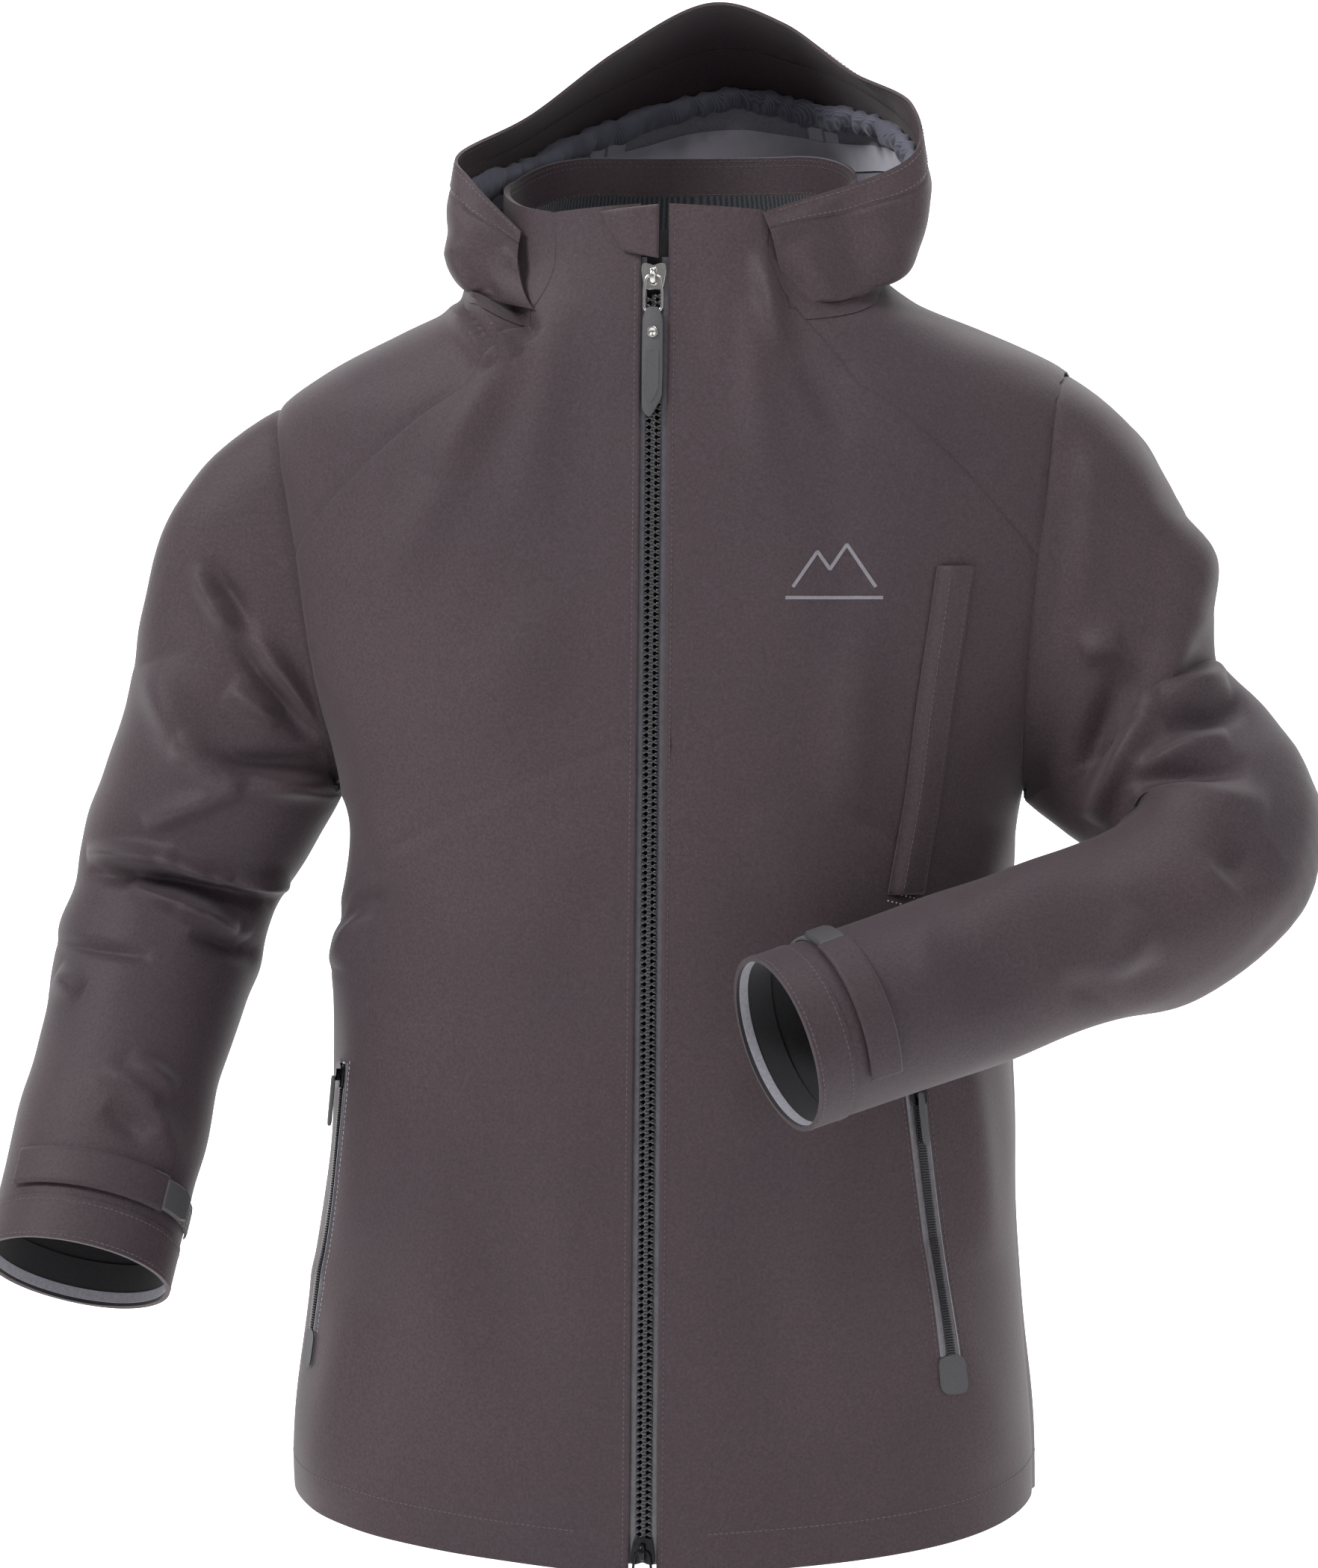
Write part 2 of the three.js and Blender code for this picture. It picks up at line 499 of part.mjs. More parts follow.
// Rings of one arm: first they turn about a line under the armpit, then they follow the arm through the elbow.
function armRings(arm) {
  const rings = [];
  const pivot = new THREE.Vector3(
    arm.side * ARMPIT_PIVOT.out + sidewaysPull(ARMPIT_HEIGHT), 0, ARMPIT_PIVOT.height,
  );
  const halfHeight = (armholeTop(arm.side) - ARMPIT_HEIGHT) / 2;
  const turnSteps = 24;
  for (let i = 0; i <= turnSteps; i += 1) {
    const t = i / turnSteps;
    const angle = arm.turn * t;
    const up = new THREE.Vector3(arm.side * Math.sin(angle), 0, Math.cos(angle));
    const tall = lerp(halfHeight, radiusAlong(0) * arm.girth, lerp(Math.sin((t * Math.PI) / 2), t, arm.full));
    const low = lerp(ARMPIT_HEIGHT - ARMPIT_PIVOT.height, ARMPIT_PIVOT.clearance, t);
    rings.push({
      share: t * TURN_SHARE,
      centre: pivot.clone().addScaledVector(up, low + tall),
      front: new THREE.Vector3(0, -1, 0),
      up,
      along: new THREE.Vector3(arm.side * Math.cos(angle), 0, -Math.sin(angle)),
      tall,
      deep: lerp(58, radiusAlong(0) * arm.girth * SLEEVE_FLATNESS, t),
    });
  }
  const start = rings[turnSteps];
  const elbow = new THREE.Vector3(...arm.elbow);
  const cuff = new THREE.Vector3(...arm.cuff);
  const upper = elbow.clone().sub(start.centre).normalize();
  const lower = cuff.clone().sub(elbow).normalize();
  const path = new THREE.CurvePath();
  const into = elbow.clone().addScaledVector(upper, -arm.round);
  const out = elbow.clone().addScaledVector(lower, arm.round);
  path.add(new THREE.LineCurve3(start.centre, into));
  path.add(new THREE.QuadraticBezierCurve3(into, elbow, out));
  path.add(new THREE.LineCurve3(out, cuff));
  const steps = 60;
  let last = start;
  for (let i = 1; i <= steps; i += 1) {
    const t = i / steps;
    const along = path.getTangentAt(t);
    const ease = smooth(Math.min(1, t * 6));
    const eased = last.along.clone().lerp(along, i === 1 ? 0.25 : Math.max(ease, 0.35)).normalize();
    const turn = new THREE.Quaternion().setFromUnitVectors(last.along, eased);
    const ring = {
      share: TURN_SHARE + t * (1 - TURN_SHARE),
      centre: path.getPointAt(t),
      front: last.front.clone().applyQuaternion(turn),
      up: last.up.clone().applyQuaternion(turn),
      along: eased,
      tall: radiusAlong(t) * arm.girth,
      deep: radiusAlong(t) * arm.girth * lerp(SLEEVE_FLATNESS, 0.94, t),
    };
    rings.push(ring);
    last = ring;
  }
  return rings;
}

function sleeveSurface(arm) {
  const rings = armRings(arm);
  const loop = armholeLoop(arm.side);
  const ringPoint = (ring, phi) => ring.centre.clone()
    .addScaledVector(ring.front, ring.deep * Math.cos(phi))
    .addScaledVector(ring.up, ring.tall * Math.sin(phi));
  return oriented((s, phi) => {
    let i = 0;
    while (i < rings.length - 2 && rings[i + 1].share < s) i += 1;
    const t = (s - rings[i].share) / (rings[i + 1].share - rings[i].share);
    const place = ringPoint(rings[i], phi).lerp(ringPoint(rings[i + 1], phi), t);
    const fade = 1 - smooth(Math.min(1, Math.max(0, s) / TURN_SHARE));
    if (fade > 0) place.add(loop(phi).sub(ringPoint(rings[0], phi)).multiplyScalar(fade));
    return place;
  }, arm.side);
}

const ELBOW_SHARE = { left: 0.64, right: 0.6 };
const sleeves = {};
for (const [word, arm] of Object.entries(ARMS)) {
  const whole = sleeveSurface(arm);
  sleeves[word] = whole;
  const straight = new THREE.Vector3(...arm.elbow).distanceTo(new THREE.Vector3(...arm.cuff));
  const perShare = straight / (1 - ELBOW_SHARE[word]);
  const gap = SEAM_GAP / perShare;
  const cuffStart = 1 - CUFF_BAND / perShare;
  const part = (from, to) => oriented((s, phi) => whole(lerp(from, to, s), phi), whole.side);
  add(`${word}_upper_sleeve`, pipe(part(0, ELBOW_SHARE[word] - gap), 20, 12, 0, -SHELL_THICKNESS), shellFabric);
  add(`${word}_lower_sleeve`, pipe(
    part(ELBOW_SHARE[word] + gap, cuffStart - gap), 20, 6, 0, -SHELL_THICKNESS,
  ), shellFabric);
  add(`${word}_cuff_band`, pipe(part(cuffStart + gap, 1), 20, 1, 0.6, -SHELL_THICKNESS - 0.6), shellFabric);

  // Cuff closure: loop patch on the sleeve, and a tab sewn behind it that reaches round over the patch.
  const tabLift = LAYER_GAP + 1.3 + 0.7; // over the loop patch
  const bandMiddle = cuffStart - 0.012 - TAB_WIDTH / 2 / perShare;
  const TAB = { left: [0.35, 2.35], right: [-0.9, 1.1] }[word];
  const wrap = (from, to, width) => oriented((u, v) => whole(
    bandMiddle + ((v - 0.5) * width) / perShare, lerp(from, to, u),
  ), -whole.side);
  add(`${word}_cuff_loop_patch`, sheet(
    wrap(TAB[0] - 0.9, TAB[1] - 0.5, LOOP_PATCH_WIDTH), 12, 1, LAYER_GAP + 1.3, LAYER_GAP,
  ), hookAndLoop);
  add(`${word}_cuff_tab`, sheet(
    wrap(TAB[0], TAB[1] - 0.3, TAB_WIDTH), 10, 1, tabLift + 1.7, tabLift,
  ), shellFabric);
  add(`${word}_cuff_tab_tip`, sheet(
    wrap(TAB[0] - 0.42, TAB[0] - 0.012, TAB_WIDTH * 0.8), 4, 1, tabLift + 2.1, tabLift,
  ), softRubber);
}

// ---- Main zip, in a frame that lies along the straight front edge: x across, y out, z up along the chain ----
const zipFrame = new THREE.Group();
zipFrame.position.set(0, -frontDepth(0), 0);
zipFrame.rotation.x = -Math.atan(FRONT_SLOPE);
hemFrame.add(zipFrame);
const alongZip = Math.hypot(1, FRONT_SLOPE);
// Boxes and extrusions here are given by their low and high corners: x, depth behind the fabric (negative), z.
function block(x0, x1, n0, n1, z0, z1) {
  const geometry = new THREE.BoxGeometry(x1 - x0, n1 - n0, z1 - z0);
  return geometry.translate((x0 + x1) / 2, -(n0 + n1) / 2, (z0 + z1) / 2);
}
const zipTapeTop = -SHELL_THICKNESS - SEAM_GAP;
const toothMiddle = zipTapeTop - ZIP_TAPE_THICKNESS / 2;
const toothFront = toothMiddle + ZIP_TOOTH_HEIGHT / 2;
const toothBack = toothMiddle - ZIP_TOOTH_HEIGHT / 2;
const chainEdge = ZIP_CHAIN_WIDTH / 2;
const chainSlot = SLIDER_WEB / 2 + 0.4;
const zipLow = ZIP_BOTTOM * alongZip;
const zipHigh = ZIP_TOP * alongZip;
for (const [word, side] of [['left', 1], ['right', -1]]) {
  const sided = (x0, x1, ...rest) => (side > 0 ? block(x0, x1, ...rest) : block(-x1, -x0, ...rest));
  add(`main_zip_${word}_tape`, sided(
    chainEdge + 0.35, ZIP_TAPE_REACH, zipTapeTop - ZIP_TAPE_THICKNESS, zipTapeTop, zipLow, zipHigh,
  ), zipTape, zipFrame);
  add(`main_zip_${word}_teeth`, sided(
    chainSlot, chainEdge, toothBack, toothFront, zipLow, zipHigh - 20,
  ), zipPlastic, zipFrame);
}

// A slider: two plates joined by a web that runs in the slot between the two rows of teeth.
function sliderBody(width, length, plate) {
  const front = toothFront + SEAM_GAP;
  const back = toothBack - SEAM_GAP;
  const w = width / 2;
  const web = SLIDER_WEB / 2;
  const outline = new THREE.Shape();
  outline.moveTo(-w, front + plate);
  outline.lineTo(-w, front);
  outline.lineTo(-web, front);
  outline.lineTo(-web, back);
  outline.lineTo(-w, back);
  outline.lineTo(-w, back - plate);
  outline.lineTo(w, back - plate);
  outline.lineTo(w, back);
  outline.lineTo(web, back);
  outline.lineTo(web, front);
  outline.lineTo(w, front);
  outline.lineTo(w, front + plate);
  const geometry = new THREE.ExtrudeGeometry(outline, { depth: length, bevelEnabled: false });
  // The outline's second axis is the way out of the fabric.
  return warp(geometry, (x, y, z) => new THREE.Vector3(x, -y, z));
}
// A flat ring: a plate with a hole, lying in the zip's plane, in front of the slider.
function plateWithHole(width, length, thickness, holeWidth, holeLength, depth) {
  const r = width * 0.25;
  const outline = new THREE.Shape();
  outline.moveTo(-width / 2 + r, 0);
  outline.lineTo(width / 2 - r, 0);
  outline.quadraticCurveTo(width / 2, 0, width / 2, -r);
  outline.lineTo(width / 2, -length + r);
  outline.quadraticCurveTo(width / 2, -length, width / 2 - r, -length);
  outline.lineTo(-width / 2 + r, -length);
  outline.quadraticCurveTo(-width / 2, -length, -width / 2, -length + r);
  outline.lineTo(-width / 2, -r);
  outline.quadraticCurveTo(-width / 2, 0, -width / 2 + r, 0);
  const hole = new THREE.Path();
  const low = -length + (width - holeWidth) / 2;
  hole.moveTo(-holeWidth / 2, low);
  hole.lineTo(holeWidth / 2, low);
  hole.lineTo(holeWidth / 2, low + holeLength);
  hole.lineTo(-holeWidth / 2, low + holeLength);
  outline.holes.push(hole);
  const settings = { depth: thickness, bevelEnabled: false, curveSegments: 3 };
  return warp(new THREE.ExtrudeGeometry(outline, settings), (x, y, z) => new THREE.Vector3(x, -z - depth, y));
}

const sliderFace = toothFront + SEAM_GAP + SLIDER_PLATE; // how far the slider's front stands from the fabric
const topSliderAt = zipHigh - 18;
const bottomSliderAt = zipLow + 0.5;
const BAIL_RISE = 3.3;
const BAIL_SEAT = 0.3; // the bail's feet are cast this deep into the plate
function bail(z, length) {
  // A low arch that the puller hangs in: two feet on the slider's plate and a bar over them.
  const outline = new THREE.Shape();
  outline.moveTo(0, 0);
  outline.lineTo(length, 0);
  outline.lineTo(length, BAIL_RISE + 1);
  outline.lineTo(0, BAIL_RISE + 1);
  const window = new THREE.Path();
  window.moveTo(2, 0.9);
  window.lineTo(2, BAIL_RISE);
  window.lineTo(length - 2, BAIL_RISE);
  window.lineTo(length - 2, 0.9);
  outline.holes.push(window);
  const geometry = new THREE.ExtrudeGeometry(outline, { depth: 3, bevelEnabled: false });
  return warp(geometry, (x, y, w) => new THREE.Vector3(w - 1.5, -(sliderFace - BAIL_SEAT + y), z + x));
}

const pullerDepth = sliderFace + 1.45;
function placed(geometry, x, z) {
  return geometry.translate(x, 0, z);
}
const TOP_PULLER_LENGTH = 19;
const RING_BAR = 2.4; // the ring's upper bar reaches this far above the bail's foot
const sliderWithBail = (at) => join(
  placed(sliderBody(SLIDER_WIDTH, SLIDER_LENGTH, SLIDER_PLATE), 0, at), bail(at + 2.5, 9),
);
add('top_slider', sliderWithBail(topSliderAt), bareMetal, zipFrame);
const topRingTop = topSliderAt + 2.5 + 1.7;
// The puller's ring goes round the bail's lower foot: its top bar lies inside the bail's window.
add('top_puller', placed(
  plateWithHole(8.6, TOP_PULLER_LENGTH, 0.7, 5.2, TOP_PULLER_LENGTH - 3.6, pullerDepth),
  0, topRingTop + RING_BAR,
), bareMetal, zipFrame);

// Rubber pull tab: two layers riveted round the puller's lower bar, with a slanted end.
function pullTab(depth, thickness, top) {
  const w = PULL_TAB_WIDTH / 2;
  const outline = new THREE.Shape();
  outline.moveTo(-w * 0.6, 0);
  outline.lineTo(w * 0.6, 0);
  outline.lineTo(w, -6);
  outline.lineTo(w, -PULL_TAB_LENGTH + 12);
  outline.lineTo(-w * 0.2, -PULL_TAB_LENGTH);
  outline.lineTo(-w, -PULL_TAB_LENGTH + 5);
  outline.lineTo(-w, -6);
  const geometry = new THREE.ExtrudeGeometry(outline, { depth: thickness, bevelEnabled: false });
  return warp(geometry, (x, y, z) => new THREE.Vector3(x, -z - depth, top + y));
}
const tabTop = topRingTop + RING_BAR - TOP_PULLER_LENGTH - 0.3;
add('pull_tab', pullTab(pullerDepth - 0.6, 1.9, tabTop), softRubber, zipFrame);
const rivet = new THREE.CylinderGeometry(RIVET_DIAMETER / 2, RIVET_DIAMETER / 2, 0.9, 20);
add('pull_tab_rivet', rivet.translate(0, -(pullerDepth - 0.6 + 1.9 + 0.35 + 0.45), tabTop - 12), bareMetal,
  zipFrame);

// The lower slider hangs upside down: its puller reaches down past the hem.
add('bottom_slider', sliderWithBail(bottomSliderAt), blackMetal, zipFrame);
add('bottom_puller', placed(
  plateWithHole(8.6, 23, 0.7, 5.2, 23 - 3.6, pullerDepth), 0, bottomSliderAt + 4.2 + RING_BAR,
), blackMetal, zipFrame);

// Storm flap behind the zip: sewn to the right front, it reaches under the chain to the left.
const STORM_FLAP_HALF = 22;
const stormFlap = oriented((u, v) => {
  const x = lerp(-STORM_FLAP_HALF, STORM_FLAP_HALF - 8, u);
  const z = lerp(ZIP_BOTTOM + 4, BACK_LENGTH - 12, v);
  return torsoPoint(Math.sign(x) * angleAt(Math.abs(x) + 0.01, z), z);
}, -1);
const flapFront = (u) => lerp(zipTapeTop - ZIP_TAPE_THICKNESS - LAYER_GAP, toothBack - SLIDER_PLATE - 1.1,
  smooth(u * 4));
function stormPoint(x, z, depth) {
  const base = new THREE.Vector3(x, -frontDepth(z), z);
  return base.addScaledVector(new THREE.Vector3(0, -1, FRONT_SLOPE).normalize(), depth);
}
add('storm_flap', warp(new THREE.BoxGeometry(1, 1, 1, 8, 6, 1), (x, y, z) => {
  const u = x + 0.5;
  const depth = flapFront(u) - (z > 0 ? 0 : 0.9);
  const across = lerp(-STORM_FLAP_HALF, STORM_FLAP_HALF - 8, u);
  const height = lerp(ZIP_BOTTOM + 4, BACK_LENGTH - 14, y + 0.5);
  const bow = stormFlap(u, y + 0.5).y + frontDepth(height);
  return stormPoint(across, height, depth).add(new THREE.Vector3(0, bow, 0));
}), darkLining);

// Zip garage: a small flap folded over the zip's top, sewn to the right front.
const garageCorners = [[-33, 778], [-18, 755], [3, 751], [3, 781]];
const garage = oriented((u, v) => {
  const low = [lerp(garageCorners[1][0], garageCorners[2][0], u), lerp(garageCorners[1][1], garageCorners[2][1], u)];
  const high = [lerp(garageCorners[0][0], garageCorners[3][0], u), lerp(garageCorners[0][1], garageCorners[3][1], u)];
  const x = lerp(low[0], high[0], v);
  const z = lerp(low[1], high[1], v);
  return torsoPoint(Math.sign(x) * angleAt(Math.abs(x) + 0.01, z), z);
}, 1);
add('zip_garage_flap', warp(new THREE.BoxGeometry(1, 1, 1, 5, 4, 1), (x, y, z) => {
  const place = garage(x + 0.5, y + 0.5);
  const lift = (z > 0 ? 2 : 0.6) + 2.6 * smooth((x + 0.5) * 2);
  return place.add(new THREE.Vector3(0, -lift, 0));
}), shellFabric);

// ---- Hand pockets and chest pocket: chain and tape on the panel, slider, end garage, and bag inside ----
// A strip of constant width along a line: line(z) is its distance from the middle.
function strip(side, line, low, high, width, shift = 0) {
  return oriented((u, v) => {
    const z = lerp(low, high, v);
    const middle = angleAt(line(z), z);
    const at = torsoPoint(middle, z);
    const ahead = torsoPoint(middle + 0.01, z);
    const perAngle = at.distanceTo(ahead) / 0.01;
    return torsoPoint(side * (middle + ((u - 0.5) * width + shift) / perAngle), z);
  }, side);
}
const bagDepth = -SHELL_THICKNESS - LAYER_GAP;
// A part of the front between two distances from the middle.
const area = (side, x0, x1, low, high) => oriented((u, v) => {
  const z = lerp(low, high, v);
  return torsoPoint(side * angleAt(lerp(x0, x1, u), z), z);
}, side);
const BAG_REACH = { left: [55, 150], right: [62, 176] };
for (const [word, side] of [['left', 1], ['right', -1]]) {
  const [xLow, xHigh] = HAND_POCKET_FROM_ZIP[word];
  const across = (z) => lerp(xLow, xHigh, (z - HAND_POCKET_BOTTOM) / (HAND_POCKET_TOP - HAND_POCKET_BOTTOM));
  const line = (width, from, to, shift) => strip(side, across, from, to, width, shift);
  add(`${word}_pocket_tape`, sheet(
    line(POCKET_TAPE_WIDTH, HAND_POCKET_BOTTOM, HAND_POCKET_TOP), 2, 5, LAYER_GAP + 0.6, LAYER_GAP,
  ), zipTape);
  add(`${word}_pocket_teeth`, sheet(
    line(POCKET_CHAIN_WIDTH, HAND_POCKET_BOTTOM, HAND_POCKET_TOP),
    1, 5, 2 * LAYER_GAP + 2.2, 2 * LAYER_GAP + 0.6,
  ), zipPlastic);
  add(`${word}_pocket_slider`, sheet(
    line(9.5, HAND_POCKET_TOP - 13, HAND_POCKET_TOP - 1), 1, 1, 2 * LAYER_GAP + 5, 2 * LAYER_GAP + 3.2,
  ), blackMetal);
  add(`${word}_pocket_puller`, sheet(
    line(4, HAND_POCKET_TOP - 38, HAND_POCKET_TOP - 8), 1, 1, 2 * LAYER_GAP + 6.8, 2 * LAYER_GAP + 5.4,
  ), softRubber);
  add(`${word}_pocket_garage`, sheet(
    line(15, HAND_POCKET_BOTTOM - 22, HAND_POCKET_BOTTOM - 0.6), 2, 2, LAYER_GAP + 1.6, LAYER_GAP,
  ), softRubber);
  add(`${word}_pocket_bag`, sheet(
    area(side, ...BAG_REACH[word], HAND_POCKET_BOTTOM - 30, HAND_POCKET_TOP + 20), 8, 5, bagDepth, bagDepth - 2.4,
  ), darkLining);
}

const CHEST_POCKET_FROM_ZIP = [152, 175]; // at the bottom and at the top
const CHEST_CHAIN_SHIFT = -8; // the hidden chain lies this far in from the welt's free edge
const chestLine = (z) => lerp(
  ...CHEST_POCKET_FROM_ZIP, (z - CHEST_POCKET_BOTTOM) / (CHEST_POCKET_TOP - CHEST_POCKET_BOTTOM),
);
const chestStrip = (width, low, high, shift) => strip(1, chestLine, low, high, width, shift);
add('chest_pocket_chain', sheet(
  chestStrip(5, CHEST_POCKET_BOTTOM + 8, CHEST_POCKET_TOP - 4, CHEST_CHAIN_SHIFT), 1, 8, LAYER_GAP + 1.2, LAYER_GAP,
), zipPlastic);
add('chest_pocket_slider', sheet(
  chestStrip(7.5, CHEST_POCKET_TOP - 16, CHEST_POCKET_TOP - 6, CHEST_CHAIN_SHIFT),
  1, 1, LAYER_GAP + 3.2, LAYER_GAP + 1.6,
), blackMetal);
// The welt is sewn down along its inner edge and stands up over the slider.
const weltRise = (u) => lerp(LAYER_GAP, LAYER_GAP + 7.3, smooth(Math.min(1, u * 2.2)));
add('chest_pocket_welt', sheet(
  chestStrip(WELT_WIDTH, CHEST_POCKET_BOTTOM, CHEST_POCKET_TOP, -WELT_WIDTH / 2),
  6, 8, (u) => weltRise(u) + 1.2, weltRise,
), shellFabric);
add('chest_pocket_bag', sheet(
  area(1, 52, 150, CHEST_POCKET_BOTTOM + 4, CHEST_POCKET_TOP - 20), 7, 6, bagDepth - 0.4, bagDepth - 2.4,
), darkLining);

// ---- Hem facing and hanger loop ----
const hemFacing = oriented((u, v) => {
  const start = angleAt(ZIP_TAPE_REACH + 12, 20);
  const angle = lerp(start, 2 * Math.PI - start, u);
  const away = Math.min(1, Math.min(angle, 2 * Math.PI - angle) / (Math.PI / 2));
  const sag = Math.max(0, Math.sin(angle - Math.PI / 2)) * BACK_HEM_DROP;
  return torsoPoint(angle, lerp(HEM_AT_ZIP + 1, HEM_LIFT_AT_SIDE + 1, away) - sag + lerp(0.5, 26, v));
}, 1);
const hemDepth = -SHELL_THICKNESS - 2 * LAYER_GAP;
add('hem_facing', sheet(
  hemFacing, 32, 1, hemDepth, hemDepth - LINING_THICKNESS,
), greyLining);

const LOOP_WIDTH = 64;
const LOOP_DROP = 18;
const loopOutline = new THREE.Shape();
loopOutline.absellipse(0, 0, LOOP_WIDTH / 2, LOOP_DROP, 0, Math.PI * 2, false, 0);
const loopHole = new THREE.Path();
loopHole.absellipse(0, 0, LOOP_WIDTH / 2 - 4, LOOP_DROP - 4, 0, Math.PI * 2, true, 0);
loopOutline.holes.push(loopHole);
const loopGeometry = new THREE.ExtrudeGeometry(loopOutline, { depth: 1.4, bevelEnabled: false, curveSegments: 8 });
add('hanger_loop', warp(loopGeometry, (x, y, z) => new THREE.Vector3(
  x, ORIGIN[1] + z - (x / (LOOP_WIDTH / 2)) ** 2 * 1.4, ORIGIN[2] - LOOP_DROP + 4 + y,
)), darkLining);

export default jacket;
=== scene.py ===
import math

import bpy
import numpy as np
from mathutils import Matrix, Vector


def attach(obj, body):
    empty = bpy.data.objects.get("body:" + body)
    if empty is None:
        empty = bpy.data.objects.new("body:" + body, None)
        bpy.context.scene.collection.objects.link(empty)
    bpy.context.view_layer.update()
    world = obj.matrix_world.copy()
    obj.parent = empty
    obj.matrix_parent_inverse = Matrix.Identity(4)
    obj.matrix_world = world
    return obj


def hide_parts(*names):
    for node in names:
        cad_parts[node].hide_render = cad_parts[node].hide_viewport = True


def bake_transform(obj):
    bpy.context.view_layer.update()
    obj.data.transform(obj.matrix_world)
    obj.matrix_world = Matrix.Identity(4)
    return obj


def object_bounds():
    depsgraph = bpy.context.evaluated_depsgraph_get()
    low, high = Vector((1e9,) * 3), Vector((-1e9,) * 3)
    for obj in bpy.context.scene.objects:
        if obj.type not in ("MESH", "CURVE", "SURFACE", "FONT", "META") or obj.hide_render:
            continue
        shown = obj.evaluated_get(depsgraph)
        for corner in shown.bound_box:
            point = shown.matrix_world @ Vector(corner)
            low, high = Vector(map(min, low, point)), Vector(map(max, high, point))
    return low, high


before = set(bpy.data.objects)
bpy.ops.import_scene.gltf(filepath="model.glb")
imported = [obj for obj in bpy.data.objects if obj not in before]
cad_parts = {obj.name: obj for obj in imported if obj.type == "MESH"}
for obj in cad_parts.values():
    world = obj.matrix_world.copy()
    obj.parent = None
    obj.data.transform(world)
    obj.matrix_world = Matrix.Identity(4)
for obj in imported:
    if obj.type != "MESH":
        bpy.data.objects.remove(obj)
cad_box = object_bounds()

# ---- Camera, floor and light ----
# The jacket hangs in front of a plain pale sweep, seen from chest height and a little from its left.
# Broad soft light comes from all round, with one larger lamp at the upper left of the view.
VIEW_AHEAD = np.array([-0.1389, 0.9884, -0.0610])
VIEW_RIGHT = np.array([0.9903, 0.1392, 0.0])
VIEW_UP = np.cross(VIEW_RIGHT, VIEW_AHEAD)
VIEW_DISTANCE = 2.7
PICTURE_HEIGHT = 0.9175
aim = np.array([0.0, -0.102, -0.293]) - 0.008 * VIEW_RIGHT - 0.006 * VIEW_UP
eye = aim - VIEW_DISTANCE * VIEW_AHEAD
camera_data = bpy.data.cameras.new("camera")
camera_data.sensor_fit = "VERTICAL"
camera_data.sensor_height = 36.0
camera_data.lens = camera_data.sensor_height * VIEW_DISTANCE / PICTURE_HEIGHT
camera_data.clip_end = 50
camera = bpy.data.objects.new("camera", camera_data)
bpy.context.scene.collection.objects.link(camera)
camera.matrix_world = Matrix([
    (VIEW_RIGHT[0], VIEW_UP[0], -VIEW_AHEAD[0], eye[0]),
    (VIEW_RIGHT[1], VIEW_UP[1], -VIEW_AHEAD[1], eye[1]),
    (VIEW_RIGHT[2], VIEW_UP[2], -VIEW_AHEAD[2], eye[2]),
    (0, 0, 0, 1),
])
bpy.context.scene.camera = camera
bpy.context.scene.view_settings.view_transform = "Standard"


def linear(hex_colour):
    """Turns an sRGB hex colour into linear red, green, blue and 1."""
    parts = [int(hex_colour[i:i + 2], 16) / 255 for i in (1, 3, 5)]
    return [c / 12.92 if c <= 0.04045 else ((c + 0.055) / 1.055) ** 2.4 for c in parts] + [1.0]


def new_material(name, colour, roughness, **sockets):
    """A material with one shader: its colour, roughness and any other sockets by name."""
    material = bpy.data.materials.new(name)
    material.use_nodes = True
    shader = material.node_tree.nodes["Principled BSDF"]
    shader.inputs["Base Color"].default_value = linear(colour)
    shader.inputs["Roughness"].default_value = roughness
    for socket, value in sockets.items():
        shader.inputs[socket.replace("_", " ")].default_value = value
    return material, material.node_tree, shader


def add_node(tree, kind, settings, links):
    """Adds a node, sets its inputs or attributes by name, and links (socket, input) pairs into it."""
    node = tree.nodes.new(kind)
    for key, value in settings.items():
        if key in node.inputs:
            node.inputs[key].default_value = value
        else:
            setattr(node, key, value)
    for source, target in links:
        tree.links.new(source, node.inputs[target])
    return node


def flat_object(name, points, faces, material, smooth=False):
    """A mesh object at the origin from points in metres and faces."""
    mesh = bpy.data.meshes.new(name)
    mesh.from_pydata(points, [], faces)
    mesh.polygons.foreach_set("use_smooth", [smooth] * len(mesh.polygons))
    mesh.materials.append(material)
    piece = bpy.data.objects.new(name, mesh)
    bpy.context.scene.collection.objects.link(piece)
    return piece


FLOOR_LEVEL = cad_box[0][2] - 0.3
SWEEP_HALF_WIDTH = 25.0


def studio_sheet(name, y, z, glow):
    """A wide sheet of pale paper that glows a little, along a line of y and heights above the floor."""
    paper, _, _ = new_material(name, "#f4f4f4", 0.9, Emission_Color=(1, 1, 1, 1), Emission_Strength=glow)
    points = [(x, a, b + FLOOR_LEVEL) for a, b in zip(y, z) for x in (-SWEEP_HALF_WIDTH, SWEEP_HALF_WIDTH)]
    faces = [(2 * i, 2 * i + 1, 2 * i + 3, 2 * i + 2) for i in range(len(y) - 1)]
    flat_object(name, points, faces, paper, smooth=True)


# The floor runs on in front, and the wall stands well back, so that a camera behind the jacket is still before it.
studio_sheet("studio_floor", [-25.0, 1.6], [0.0, 0.0], 0.45)
studio_sheet("studio_sweep", [1.6, 6.0, 7.6, 8.4, 8.8, 8.95, 9.0], [0.0, 0.0, 0.4, 1.1, 2.2, 4.0, 15.0], 1.0)

world = bpy.data.worlds.new("studio")
bpy.context.scene.world = world
world.use_nodes = True
world.node_tree.nodes["Background"].inputs["Color"].default_value = (1, 1, 1, 1)
world.node_tree.nodes["Background"].inputs["Strength"].default_value = 0.24


